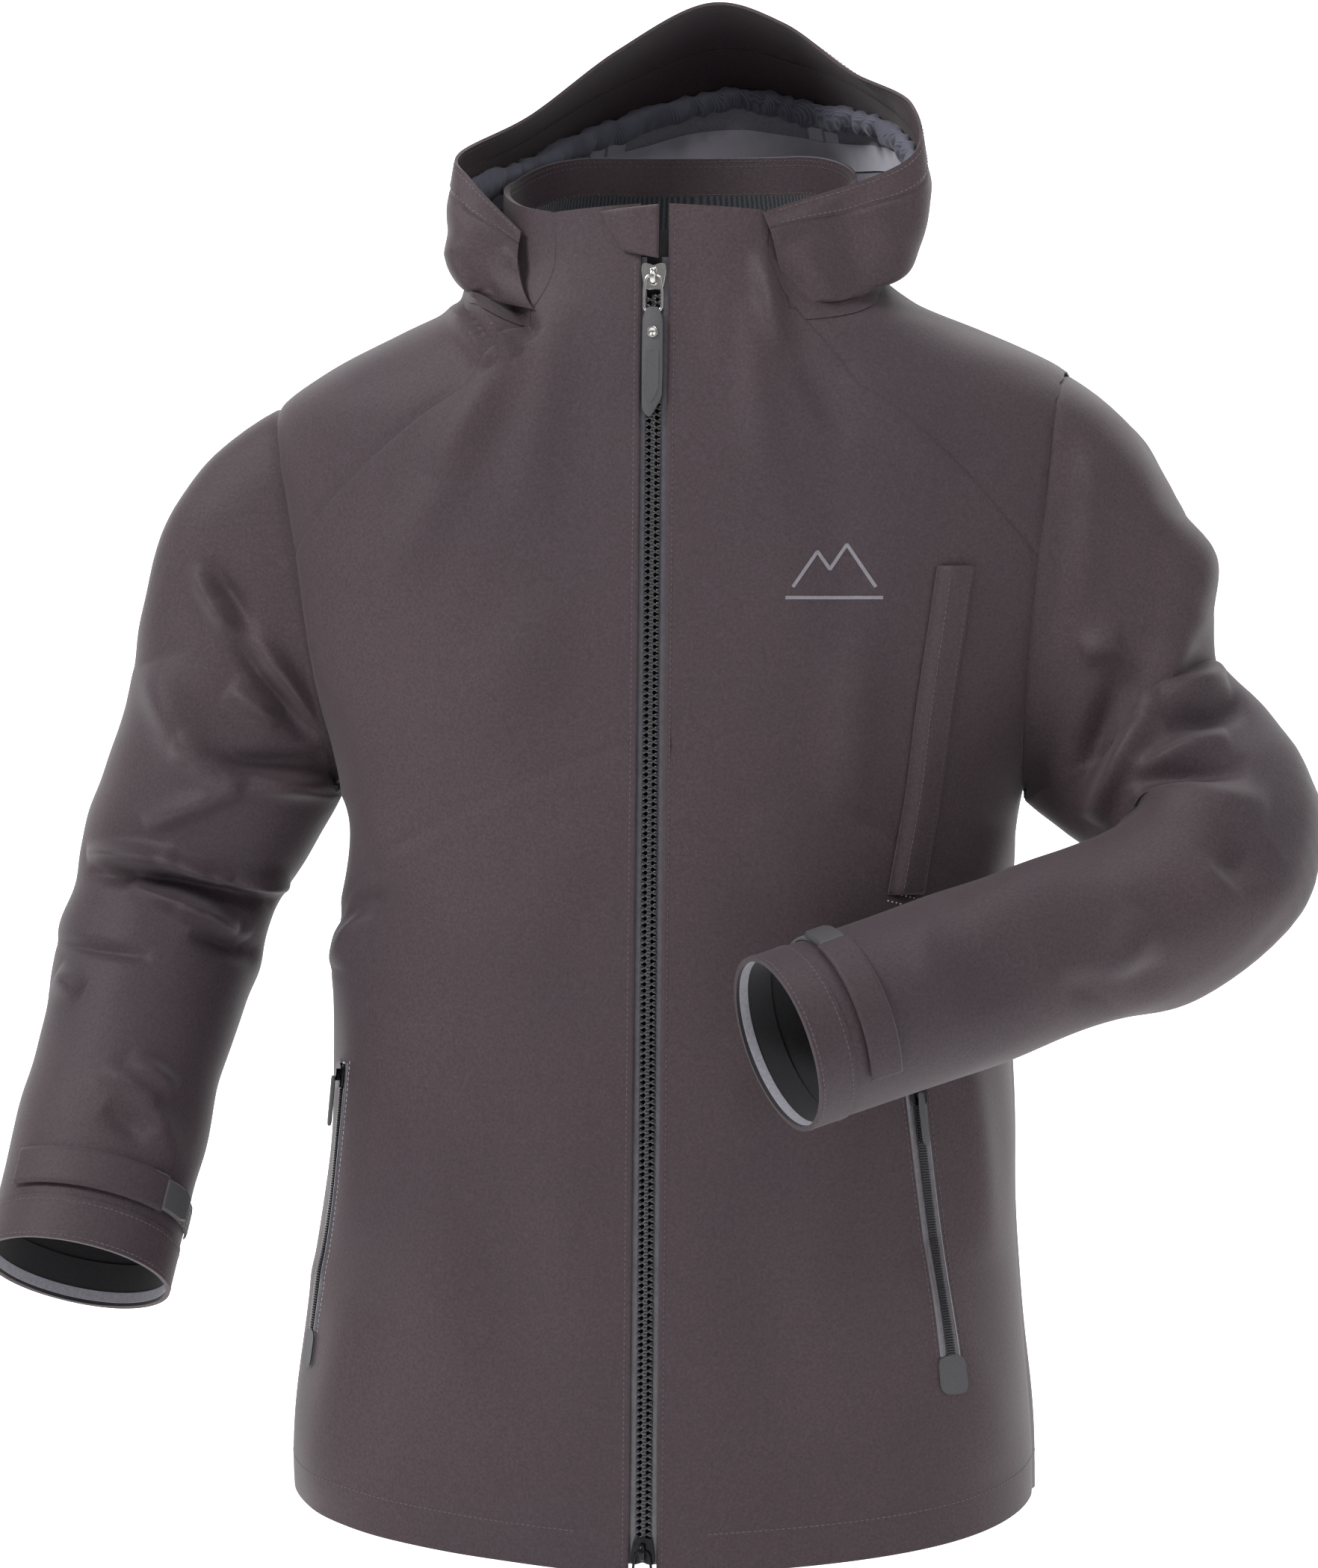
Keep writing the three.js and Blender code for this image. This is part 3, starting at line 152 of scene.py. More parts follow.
def soft_lamp(name, place, power, size, target=(0.0, -0.1, -0.3)):
    """A square area lamp that faces a target, by default the jacket's middle."""
    data = bpy.data.lights.new(name, "AREA")
    data.energy = power
    data.size = size
    lamp = bpy.data.objects.new(name, data)
    towards = np.array(target) - np.array(place)
    back = -towards / np.linalg.norm(towards)
    side = np.cross([0, 0, 1], back)
    side /= np.linalg.norm(side)
    top = np.cross(back, side)
    rows = [(side[i], top[i], back[i], place[i]) for i in range(3)]
    lamp.matrix_world = Matrix(rows + [(0, 0, 0, 1)])
    bpy.context.scene.collection.objects.link(lamp)


soft_lamp("key_lamp", (-2.1, -1.7, 1.9), 88, 1.1)
soft_lamp("fill_lamp", (2.4, -1.6, 0.6), 14, 1.8)
soft_lamp("top_lamp", (0.3, 0.1, 2.3), 12, 1.3)
soft_lamp("hood_lamp", (0.25, -1.5, 0.95), 6, 0.35, (0.02, 0.05, 0.1))
soft_lamp("sweep_lamp", (0.0, 1.2, 2.6), 40, 2.6)

# ---- Body panels ----
# The body is cut from a three-layer laminate: two chest panels, two front skirt panels, two shoulder yokes
# and one back panel, sewn and taped edge to edge. Sizes are millimetres above the hem, with the zip in the
# middle of the front, and each level of the body is a superellipse.
HEM_FRAME = np.array([0.0, 82.0, 748.0])
SQUARENESS = 2.4
COLLAR_TOP = 782
FRONT_DEPTH = 96
FRONT_SLOPE = 0.062
ARMPIT = 450
SHELL = 0.9


def curve_through(pairs):
    """A smooth curve through (place, value) pairs: cubic Hermite pieces, slopes taken from the neighbours."""
    x, y = np.array(pairs, float).T
    ahead = np.minimum(np.arange(len(x)) + 1, len(x) - 1)
    behind = np.maximum(np.arange(len(x)) - 1, 0)
    slope = (y[ahead] - y[behind]) / (x[ahead] - x[behind])

    def value(at):
        i = np.clip(np.searchsorted(x, at, side="left") - 1, 0, len(x) - 2)
        w = x[i + 1] - x[i]
        t = np.clip((at - x[i]) / w, 0, 1)
        return ((2 * t**3 - 3 * t**2 + 1) * y[i] + (t**3 - 2 * t**2 + t) * w * slope[i]
                + (3 * t**2 - 2 * t**3) * y[i + 1] + (t**3 - t**2) * w * slope[i + 1])

    return value


half_width = curve_through([
    (-10, 221), (60, 220), (150, 212), (300, 203), (400, 199), (450, 201), (500, 221), (560, 240), (612, 249),
    (642, 251), (668, 244), (689, 215), (712, 170), (731, 131), (752, 108), (790, 103), (840, 101),
])
back_depth = curve_through([
    (-10, 118), (150, 116), (300, 118), (400, 124), (500, 134), (580, 138), (640, 130), (690, 112), (730, 93),
    (756, 84), (840, 80),
])
sideways_pull = curve_through([(0, -8), (150, -8), (350, -3), (550, 6), (700, 9), (760, 4), (840, 3)])


def front_depth(z):
    return FRONT_DEPTH + FRONT_SLOPE * (COLLAR_TOP - z)


def smooth(t):
    t = np.clip(t, 0, 1)
    return t * t * (3 - 2 * t)


def mix(a, b, t):
    return a + (b - a) * t


def bare_body(angle, z):
    """The body's smooth form: a superellipse at each height, angle 0 at the zip and positive to the wearer's left."""
    power = 2 / SQUARENESS
    s, c = np.sin(angle), np.cos(angle)
    depth = np.where(c > 0, front_depth(z), back_depth(z))
    reach = np.abs(s) ** power
    x = (half_width(z) * np.sign(s) + sideways_pull(z)) * reach
    y = -depth * np.sign(c) * np.abs(c) ** power
    return np.stack([x, y, z + 0 * angle], axis=-1)


def normal_of(surface, a, b, side, step=1e-3, rise=None):
    """Unit normals of surface(a, b) from central differences, pointing out where side is right."""
    rise = step if rise is None else rise
    across = surface(a + step, b) - surface(a - step, b)
    up = surface(a, b + rise) - surface(a, b - rise)
    normal = np.cross(across, up) * side
    return normal / np.maximum(np.linalg.norm(normal, axis=-1, keepdims=True), 1e-9)


def front_view(points):
    """Where points lie as seen from the front: millimetres across from the middle and up from the hem."""
    v = points - HEM_FRAME - eye * 1000
    depth = v @ VIEW_AHEAD
    across = 1000 * VIEW_DISTANCE * (v @ VIEW_RIGHT) / depth
    up = 1000 * VIEW_DISTANCE * (v @ VIEW_UP) / depth + 452.4
    return across, up


def crease(x, z, start, end, width, height):
    """A soft ridge: height times a bell of the distance from a line, fading out at both its ends."""
    a, d = np.array(start, float), np.subtract(end, start).astype(float)
    t = ((x - a[0]) * d[0] + (z - a[1]) * d[1]) / (d @ d)
    near = np.clip(t, 0, 1)
    distance = np.hypot(x - a[0] - near * d[0], z - a[1] - near * d[1])
    fade = np.sin(np.pi * np.clip(0.08 + 0.84 * t, 0, 1)) ** 0.8
    return height * np.exp(-((distance / width) ** 2)) * fade


def ripples(points, wavelength, seed, stretch=(1, 1, 1)):
    """Gentle random undulation from -1 to 1: a few plane waves of about one wavelength, with mixed phases."""
    rng = np.random.default_rng(seed)
    total = np.zeros(points.shape[:-1])
    for _ in range(7):
        way = rng.normal(size=3) * stretch
        way /= np.linalg.norm(way)
        pitch = wavelength * rng.uniform(0.7, 1.6)
        total += np.sin(2 * math.pi * (points @ way) / pitch + rng.uniform(0, 6.283))
    return total / 4


# Folds that the front of the body shows: start and end (across, up), half width and height.
BODY_FOLDS = [
    ((-112, 742), (-84, 706), 6, 4.5), ((-98, 748), (-74, 716), 5, -4), ((-120, 730), (-98, 700), 6, 3.5),
    ((-84, 712), (-128, 640), 13, 2.2), ((-99, 682), (-155, 570), 14, 1.8), ((-60, 730), (-78, 610), 16, 1.6),
    ((58, 762), (70, 712), 6, 3), ((76, 716), (110, 655), 10, -1.8), ((112, 690), (170, 640), 12, 1.6),
    ((52, 730), (62, 640), 12, 1.6), ((30, 745), (36, 690), 9, 1.2),
    ((-172, 382), (-187, 347), 6, 3.2), ((-150, 392), (-190, 372), 7, -2.4), ((-176, 470), (-150, 380), 16, 2.2),
    ((-186, 440), (-198, 380), 9, -2.5), ((120, 560), (110, 440), 15, 1.8), ((95, 640), (118, 520), 20, -1.6),
    ((-60, 560), (-120, 470), 26, 1.6), ((-30, 420), (-110, 330), 30, 1.4), ((60, 430), (120, 352), 22, 1.5),
    ((-150, 300), (-130, 120), 26, 1.9), ((-95, 260), (-80, 60), 30, -1.6), ((120, 300), (95, 90), 26, 1.8),
    ((60, 240), (70, 40), 28, -1.5), ((178, 300), (190, 180), 12, 2.4), ((192, 420), (178, 350), 14, 2.4),
    ((-196, 330), (-206, 180), 12, -2.2), ((150, 170), (200, 60), 18, 1.6), ((-180, 140), (-205, 40), 16, 1.8),
]
BACK_FOLDS = [
    ((-150, 640), (-60, 560), 24, 3), ((150, 640), (70, 550), 22, 3), ((-180, 470), (-80, 380), 22, 3),
    ((185, 460), (90, 370), 22, 3.2), ((-100, 320), (60, 290), 24, -2.4), ((-20, 500), (10, 330), 34, 3),
    ((-140, 240), (-120, 60), 30, 3.5), ((40, 230), (20, 20), 34, 3.5), ((150, 260), (140, 40), 26, -3),
    ((-60, 700), (-30, 590), 20, 2.4), ((50, 700), (30, 600), 18, -2),
]


def body_height(points):
    """How far the cloth stands off the smooth form: listed folds, and a slow undulation away from the zip."""
    x, z = front_view(points)
    front = smooth((25 - points[..., 1]) / 60)
    height = sum(crease(x, z, *fold) for fold in BODY_FOLDS) * front
    height = height + sum(crease(points[..., 0], points[..., 2], *fold) for fold in BACK_FOLDS) * (1 - front)
    calm = smooth((np.abs(points[..., 0]) - 10) / 50) + 0.0
    calm = np.where(points[..., 1] > 0, 1.0, calm)
    return (2.6 * height + 2.2 * ripples(points, 190, 4, (1, 1, 0.5)) + 0.8 * ripples(points, 70, 9, (1, 1, 0.6))) * calm


def body(angle, z):
    """The draped body: the smooth form moved along its normals by the folds."""
    base = bare_body(angle, z)
    normal = normal_of(bare_body, angle, z, 1, 2e-3, 0.5)
    return base + normal * body_height(base)[..., None]


def to_frame(points):
    return (points - HEM_FRAME) / 1000


def grid_faces(rows, columns, wrap=False, first=0):
    """Quads of a grid of points, row by row; wrap joins the last column to the first."""
    count = columns
    r, c = np.meshgrid(np.arange(rows - 1), np.arange(count if wrap else count - 1), indexing="ij")
    nxt = (c + 1) % count
    return (np.stack([r * count + c, r * count + nxt, (r + 1) * count + nxt, (r + 1) * count + c], -1)
            .reshape(-1, 4) + first)


def cloth(name, outer, inner, materials, wrap=False, turn=False, round_rim=True):
    """A piece of cloth with thickness from two grids of points (outer face and inner face, in millimetres).

    The rim closes the two faces. The first material is on the outer face and the rim, the second inside.
    Its UV map is the distance along the grid in metres.
    """
    rows, columns = outer.shape[:2]
    count = rows * columns
    top = grid_faces(rows, columns, wrap)
    under = grid_faces(rows, columns, wrap, count)[:, ::-1]
    edge = []
    if wrap:
        ring = np.arange(columns)
        edge.append(np.stack([ring, ring + count, np.roll(ring, -1) + count, np.roll(ring, -1)], -1))
        last = ring + (rows - 1) * columns
        edge.append(np.stack([last, np.roll(last, -1), np.roll(last, -1) + count, last + count], -1))
    else:
        index = np.arange(count).reshape(rows, columns)
        loop = np.concatenate([index[0, :-1], index[:-1, -1], index[-1, :0:-1], index[:0:-1, 0]])
        following = np.roll(loop, -1)
        edge.append(np.stack([loop, loop + count, following + count, following], -1))
    faces = np.concatenate([top, under] + edge)
    if turn:
        faces = faces[:, ::-1]
    points = np.concatenate([outer.reshape(-1, 3), inner.reshape(-1, 3)])
    mesh = bpy.data.meshes.new(name)
    mesh.from_pydata(to_frame(points).tolist(), [], faces.tolist())
    across = np.linalg.norm(np.diff(outer, axis=1), axis=-1).mean()
    along = np.linalg.norm(np.diff(outer, axis=0), axis=-1).mean()
    v, u = np.meshgrid(np.arange(rows) * along / 1000, np.arange(columns) * across / 1000, indexing="ij")
    corner = np.tile(np.stack([u, v], -1).reshape(-1, 2), (2, 1))
    layer = mesh.uv_layers.new(name="cloth")
    order = np.empty(len(mesh.loops), dtype=int)
    mesh.loops.foreach_get("vertex_index", order)
    layer.data.foreach_set("uv", corner[order].ravel())
    mesh.polygons.foreach_set("use_smooth", np.ones(len(mesh.polygons), dtype=bool))
    slots = np.zeros(len(faces), dtype=int)
    slots[len(top):len(top) + len(under)] = 1 if len(materials) > 1 else 0
    for material in materials:
        mesh.materials.append(material)
    mesh.polygons.foreach_set("material_index", slots)
    mesh.set_sharp_from_angle(angle=math.radians(50))
    mesh.update()
    piece = bpy.data.objects.new(name, mesh)
    bpy.context.scene.collection.objects.link(piece)
    return piece


def share_grid(rows, columns):
    """Shares across (u) and along (v) a piece, on a grid."""
    v, u = np.meshgrid(np.linspace(0, 1, rows), np.linspace(0, 1, columns), indexing="ij")
    return u, v


def edge_dip(u, v, width, height, reach=4.0, depth=0.8, sides="lrbt"):
    """How far a panel sinks towards its seams: depth times a bell of the distance from the named edges."""
    distance = np.full(np.shape(u), 1e9)
    for key, value in (("l", u * width), ("r", (1 - u) * width), ("b", v * height), ("t", (1 - v) * height)):
        if key in sides:
            distance = np.minimum(distance, value)
    return depth * np.exp(-((distance / reach) ** 2))


# Nylon plain weave, dyed dark brown-grey and matt: a fine even grain, a little sheen at a glance, and slow
# changes of tone where the light laminate has creased. The weave is drawn about three times too coarse, so
# that it shows.
shell_cloth, tree, shader = new_material("nylon_plain_weave", "#392e34", 0.62, Sheen_Weight=0.12,
                                         Sheen_Roughness=0.45, Specular_IOR_Level=0.35)
place = add_node(tree, "ShaderNodeTexCoord", {}, [])
tone = add_node(tree, "ShaderNodeTexNoise", {"Scale": 5.0, "Detail": 3.0}, [(place.outputs["Object"], "Vector")])
grain = add_node(tree, "ShaderNodeTexNoise", {"Scale": 620.0, "Detail": 3.0, "Roughness": 0.75},
                 [(place.outputs["Object"], "Vector")])
slow = add_node(tree, "ShaderNodeValToRGB", {}, [(tone.outputs["Fac"], "Fac")])
slow.color_ramp.elements[0].position = 0.36
slow.color_ramp.elements[0].color = linear("#372c32")
slow.color_ramp.elements[1].position = 0.66
slow.color_ramp.elements[1].color = linear("#3e3135")
speck = add_node(tree, "ShaderNodeMixRGB", {"blend_type": "OVERLAY", "Fac": 0.85},
                 [(slow.outputs["Color"], "Color1"), (grain.outputs["Fac"], "Color2")])
tree.links.new(speck.outputs["Color"], shader.inputs["Base Color"])
bump = add_node(tree, "ShaderNodeBump", {"Strength": 0.45, "Distance": 0.0006}, [(grain.outputs["Fac"], "Height")])
tree.links.new(bump.outputs["Normal"], shader.inputs["Normal"])

# Tricot backer on the inside of the laminate: smooth light grey knit with a faint grid.
backer, tree, shader = new_material("tricot_backer", "#6d6c72", 0.7, Sheen_Weight=0.15)
place = add_node(tree, "ShaderNodeTexCoord", {}, [])
ribs = add_node(tree, "ShaderNodeTexBrick", {"Scale": 420.0, "Color1": linear("#77767c"), "Color2": linear("#6c6b72"),
                                             "Mortar": linear("#57565c"), "Mortar Size": 0.03},
                [(place.outputs["Object"], "Vector")])
tree.links.new(ribs.outputs["Color"], shader.inputs["Base Color"])
bump = add_node(tree, "ShaderNodeBump", {"Strength": 0.2, "Distance": 0.0003}, [(ribs.outputs["Fac"], "Height")])
tree.links.new(bump.outputs["Normal"], shader.inputs["Normal"])


def angle_at(x, z):
    return np.arcsin(np.minimum(1, np.abs(x) / half_width(z)) ** (SQUARENESS / 2))


LEAN = {1: 0.07, -1: 0.19}


def armhole_span(z, side):
    return 200.6 + LEAN[side] * (z - ARMPIT)


def armhole_top(side):
    """The height where the shoulder has come in to the armhole seam."""
    heights = np.linspace(650, 740, 2000)
    return heights[np.argmax(half_width(heights) <= armhole_span(heights, side))]


def armhole_angle(z, side):
    return np.where(z > ARMPIT, angle_at(armhole_span(z, side), z), math.pi / 2)


def seam(points):
    """A seam through (angle, height) points on the body, walked by a share of its length."""
    points = np.array(points, float)
    places = bare_body(points[:, 0], points[:, 1])
    run = np.concatenate([[0], np.cumsum(np.linalg.norm(np.diff(places, axis=0), axis=1))])
    return lambda share: (np.interp(share * run[-1], run, points[:, 0]), np.interp(share * run[-1], run, points[:, 1]))


def armhole_stretch(low, high, steps, behind, side):
    z = np.linspace(low, high, steps + 1)
    angle = armhole_angle(z, side)
    return [(math.pi - a if behind else a, h) for a, h in zip(angle, z)]


RAGLAN_START, RAGLAN_BACK_START = 583, 612
NECK_LOW, NAPE = 716, 755
ZIP_HALF_OPENING = 8


def raglan_front(side):
    points = [(float(armhole_angle(RAGLAN_START, side)), RAGLAN_START)]
    for x, z in [(194, 604), (171, 631), (147, 654), (112, 679), (82, NECK_LOW)]:
        wider = 1 if side > 0 else mix(1.08, 1, (z - 604) / 112)
        points.append((float(angle_at(x * wider, z)), z))
    return points


def raglan_back(side):
    return [(math.pi - float(armhole_angle(RAGLAN_BACK_START, side)), RAGLAN_BACK_START), (2.2, 640), (2.45, 680),
            (2.6, 720), (2.62, NAPE - 4)]


def collar_base(angle):
    return mix(NECK_LOW, NAPE, smooth((angle - 0.4) / 1.6))


def rim_height(angle):
    return COLLAR_TOP - 4 + 42 * smooth((angle - 0.4) / 2.2)


HEM_ZIP, HEM_SIDE, SEAM_ZIP, SEAM_SIDE, HEM_DROP = 9, 34, 478, 352, 18
COLLAR_FRONT = 0.6
ROUND = math.pi / 2


def zip_side(low, high):
    return lambda v: (angle_at(ZIP_HALF_OPENING, mix(low, high, v)), mix(low, high, v))


def panel(name, edge_a, edge_b, side, rows, columns, dips="lrbt", width=150, height=300, bow=0.0):
    """A body panel between two edges that give (angle, height) for a share of their length."""
    def surface(u, v):
        angle_a, z_a = edge_a(v)
        angle_b, z_b = edge_b(v)
        z = mix(z_a, z_b, u) - bow * np.sin(math.pi * u) * (1 - smooth(v * 3))
        return side * mix(angle_a, angle_b, u), z

    u, v = share_grid(rows, columns)
    angle, z = surface(u, v)
    outer = body(angle, z)
    normal = normal_of(body, angle, z, 1, 2e-3, 0.5)
    outer = outer - normal * edge_dip(u, v, width, height, sides=dips)[..., None]
    piece = cloth(name, outer, outer - SHELL * normal, [shell_cloth, backer], turn=side < 0)
    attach(piece, "jacket")
    return piece


for word, side in (("left", 1), ("right", -1)):
    outer_edge = seam([(ROUND, SEAM_SIDE), (ROUND, 400), (ROUND, ARMPIT)]
                      + armhole_stretch(ARMPIT + 6, RAGLAN_START, 6, False, side)[:-1]
                      + raglan_front(side) + [(COLLAR_FRONT, COLLAR_TOP - 4)])
    chest = panel(f"{word}_chest", zip_side(SEAM_ZIP, COLLAR_TOP), outer_edge, side, 150, 90, "rb", 180, 300)
    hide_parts(f"{word}_chest_panel")
    skirt = panel(f"{word}_skirt", zip_side(HEM_ZIP, SEAM_ZIP),
                  lambda v: (ROUND + 0 * v, mix(HEM_SIDE, SEAM_SIDE, v)), side, 150, 90, "rt", 200, 400)
    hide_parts(f"{word}_front_skirt_panel")


def over_armhole(side):
    """The armhole's upper part, from the front raglan seam over the shoulder to the back one."""
    points = []
    for t in np.linspace(0, 1, 13):
        peak = max(0.0, math.sin(math.pi * min(1, t * 1.04) ** 0.95)) ** 0.7
        z = mix(mix(RAGLAN_START, RAGLAN_BACK_START, t), armhole_top(side), peak)
        angle = float(armhole_angle(z, side))
        points.append((angle if t < 0.5 else math.pi - angle, z))
    return seam(points)


for word, side in (("left", 1), ("right", -1)):
    top, ahead, behind = over_armhole(side), seam(raglan_front(side)), seam(raglan_back(side))
    u, v = share_grid(70, 130)
    front_neck, back_neck = ahead(1.0)[0], behind(1.0)[0]
    neck_angle = mix(front_neck, back_neck, u)
    neck = (neck_angle, collar_base(neck_angle))
    angle, z = [
        mix(ahead(v)[k], behind(v)[k], u) + mix(top(u)[k], neck[k], v)
        - mix(mix(ahead(0.0)[k], behind(0.0)[k], u), mix(ahead(1.0)[k], behind(1.0)[k], u), v)
        for k in (0, 1)
    ]
    outer = body(side * angle, z)
    normal = normal_of(body, side * angle, z, 1, 2e-3, 0.5)
    outer = outer - normal * edge_dip(u, v, 260, 150)[..., None]
    yoke = cloth(f"{word}_yoke", outer, outer - SHELL * normal, [shell_cloth, backer], turn=side < 0)
    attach(yoke, "jacket")
    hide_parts(f"{word}_shoulder_yoke")

back_edges = [
    seam([(ROUND, HEM_SIDE), (ROUND, 200), (ROUND, ARMPIT)]
         + armhole_stretch(ARMPIT + 6, RAGLAN_BACK_START, 6, True, side)[:-1] + raglan_back(side))
    for side in (1, -1)
]
back = panel(
    "back", back_edges[0],
    lambda v: (2 * math.pi - back_edges[1](v)[0], back_edges[1](v)[1]), 1, 200, 180, "lrt", 420, 700, HEM_DROP,
)
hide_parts("back_panel")

# ---- Collar ----
# A stand-up collar of the same laminate from the neck seam to the rim, lined with dark brushed knit. A
# facing band of shell cloth finishes the rim inside, held by two rows of stitching.
knit, tree, shader = new_material("brushed_knit", "#282a2f", 0.95, Sheen_Weight=0.3)
place = add_node(tree, "ShaderNodeUVMap", {}, [])
rows_of_loops = add_node(tree, "ShaderNodeTexWave", {"Scale": 110.0, "Distortion": 1.5, "Detail": 2.0,
                                                     "Detail Scale": 3.0}, [(place.outputs["UV"], "Vector")])
shade = add_node(tree, "ShaderNodeValToRGB", {}, [(rows_of_loops.outputs["Fac"], "Fac")])
shade.color_ramp.elements[0].color = linear("#1b1d21")
shade.color_ramp.elements[1].color = linear("#3d4046")
tree.links.new(shade.outputs["Color"], shader.inputs["Base Color"])
bump = add_node(tree, "ShaderNodeBump", {"Strength": 0.6, "Distance": 0.0006},
                [(rows_of_loops.outputs["Fac"], "Height")])
tree.links.new(bump.outputs["Normal"], shader.inputs["Normal"])

COLLAR_FOOT = float(angle_at(82, NECK_LOW)) - 0.004


def collar_grid(low, high, start, rows, columns):
    """Angles and heights of a band round the neck between two heights that depend on the angle."""
    u, v = share_grid(rows, columns)
    begin = mix(COLLAR_FOOT, start, v)
    angle = mix(begin, 2 * math.pi - begin, u)
    folded = np.minimum(angle, 2 * math.pi - angle)
    return angle, mix(low(folded), high(folded), v), u, v


def collar_piece(name, low, high, start, outward, inward, materials, node, rows=40, columns=190):
    angle, z, u, v = collar_grid(low, high, start, rows, columns)
    base = body(angle, z)
    normal = normal_of(body, angle, z, 1, 2e-3, 0.5)
    piece = cloth(name, base + normal * outward, base + normal * inward, materials)
    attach(piece, "jacket")
    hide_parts(node)
    return piece


FACING = 24
collar_piece("collar", lambda a: collar_base(a) + 0.2, rim_height, COLLAR_FRONT - 0.012, -0.25, -1.6,
             [shell_cloth, backer], "collar_shell")
collar_piece("collar_knit", lambda a: collar_base(a) + 6, lambda a: rim_height(a) - FACING + 1, 0.66, -2.2, -4.4,
             [knit], "collar_knit_lining")
collar_piece("collar_band", lambda a: rim_height(a) - FACING, lambda a: rim_height(a) - 0.5, 0.66, -1.9, -3.6,
             [shell_cloth], "collar_facing")

# ---- Hood ----
# Three panels (right, crown, left) and a stiffened brim band round the face, all of the shell cloth. It
# stands up round an empty head space. Its outline is a row of cubic curves from the neck seam to the face
# edge, joined sideways by Catmull-Rom curves.
HOOD_SECTIONS = [
    (-24, (-79, -86, 738), (-80, -79, 752), (-79, -76, 767)),
    (-55, (-122, -72, 732), (-126, -72, 770), (-110, -66, 798)),
    (-90, (-130, -5, 733), (-132, -20, 790), (-122, -45, 815)),
    (-125, (-130, 100, 720), (-116, 80, 822), (-88, 5, 841)),
    (-155, (-75, 190, 695), (-75, 185, 860), (-40, 32, 881)),
    (-180, (0, 225, 690), (5, 225, 885), (12, 45, 909)),
    (-205, (72, 195, 695), (84, 190, 868), (58, 36, 896)),
    (-235, (132, 110, 720), (138, 95, 850), (99, 18, 866)),
    (-270, (146, 0, 733), (152, -5, 800), (139, -15, 843)),
    (-305, (142, -66, 730), (148, -62, 770), (138, -50, 808)),
    (-336, (70, -90, 738), (64, -87, 757), (58, -90, 776)),
]
BRIM_START = 0.84
section_angle = np.radians([row[0] for row in HOOD_SECTIONS])
folded_angle = np.where(-section_angle > math.pi, 2 * math.pi + section_angle, -section_angle)
hood_foot = bare_body(section_angle, collar_base(folded_angle) + 6)
away = hood_foot * [1, 1, 0]
hood_foot = hood_foot + 3 * away / np.linalg.norm(away, axis=1, keepdims=True)
hood_rows = [hood_foot] + [np.array([row[k] for row in HOOD_SECTIONS], float) for k in (1, 2, 3)]


def catmull_rom(points, t):
    """A uniform Catmull-Rom curve through points, t from 0 to 1; past the ends the points are mirrored on."""
    padded = np.concatenate([[2 * points[0] - points[1]], points, [2 * points[-1] - points[-2]]])
    place = np.clip(t, 0, 1) * (len(points) - 1)
    i = np.minimum(place.astype(int), len(points) - 2)
    w = (place - i)[..., None]
    a, b, c, d = padded[i], padded[i + 1], padded[i + 2], padded[i + 3]
    return b + 0.5 * w * (c - a + w * (2 * a - 5 * b + 4 * c - d + w * (3 * (b - c) + d - a)))


HOOD_FOLDS = [
    ((-128, 770), (-108, 742), 7, 5), ((-118, 762), (-96, 736), 5, -4), ((-108, 790), (-84, 762), 7, 3.5),
    ((-112, 800), (-70, 775), 9, -2.5), ((-90, 764), (-70, 748), 5, 3.5), ((62, 776), (112, 800), 8, 3.4),
    ((82, 766), (104, 730), 9, 5), ((104, 788), (126, 738), 10, -4), ((66, 764), (88, 728), 6, -3.5),
    ((120, 800), (146, 752), 9, 3), ((72, 790), (130, 796), 7, -2),
]


def bare_hood(u, v):
    """u runs from the right front corner over the nape to the left one, v from the neck seam to the face edge."""
    p, q, r, s = [catmull_rom(points, u) for points in hood_rows]
    v = np.asarray(v)[..., None]
    w = 1 - v
    return w**3 * p + 3 * w**2 * v * q + 3 * w * v**2 * r + v**3 * s


def hood(u, v):
    base = bare_hood(u, v)
    normal = normal_of(bare_hood, u, v, -1, 2e-3)
    x, z = front_view(base)
    front = smooth((40 - base[..., 1]) / 40)
    quiet = smooth((BRIM_START - v) / 0.12)
    height = sum(crease(x, z, *fold) for fold in HOOD_FOLDS) * front * smooth((1.02 - v) / 0.2)
    height = height + quiet * (2.2 * ripples(base, 90, 21) + 0.8 * ripples(base, 40, 5))
    return base + normal * (height * smooth(v / 0.08))[..., None]


def bends_with_hood(piece, node):
    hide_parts(node)
    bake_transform(piece)


hood_backer, tree, shader = new_material("light_tricot_backer", "#a2a0aa", 0.65, Sheen_Weight=0.15)
place = add_node(tree, "ShaderNodeTexCoord", {}, [])
weave = add_node(tree, "ShaderNodeTexNoise", {"Scale": 600.0, "Detail": 2.0}, [(place.outputs["Object"], "Vector")])
shade = add_node(tree, "ShaderNodeValToRGB", {}, [(weave.outputs["Fac"], "Fac")])
shade.color_ramp.elements[0].color = linear("#85838c")
shade.color_ramp.elements[1].color = linear("#b3b1bb")
tree.links.new(shade.outputs["Color"], shader.inputs["Base Color"])

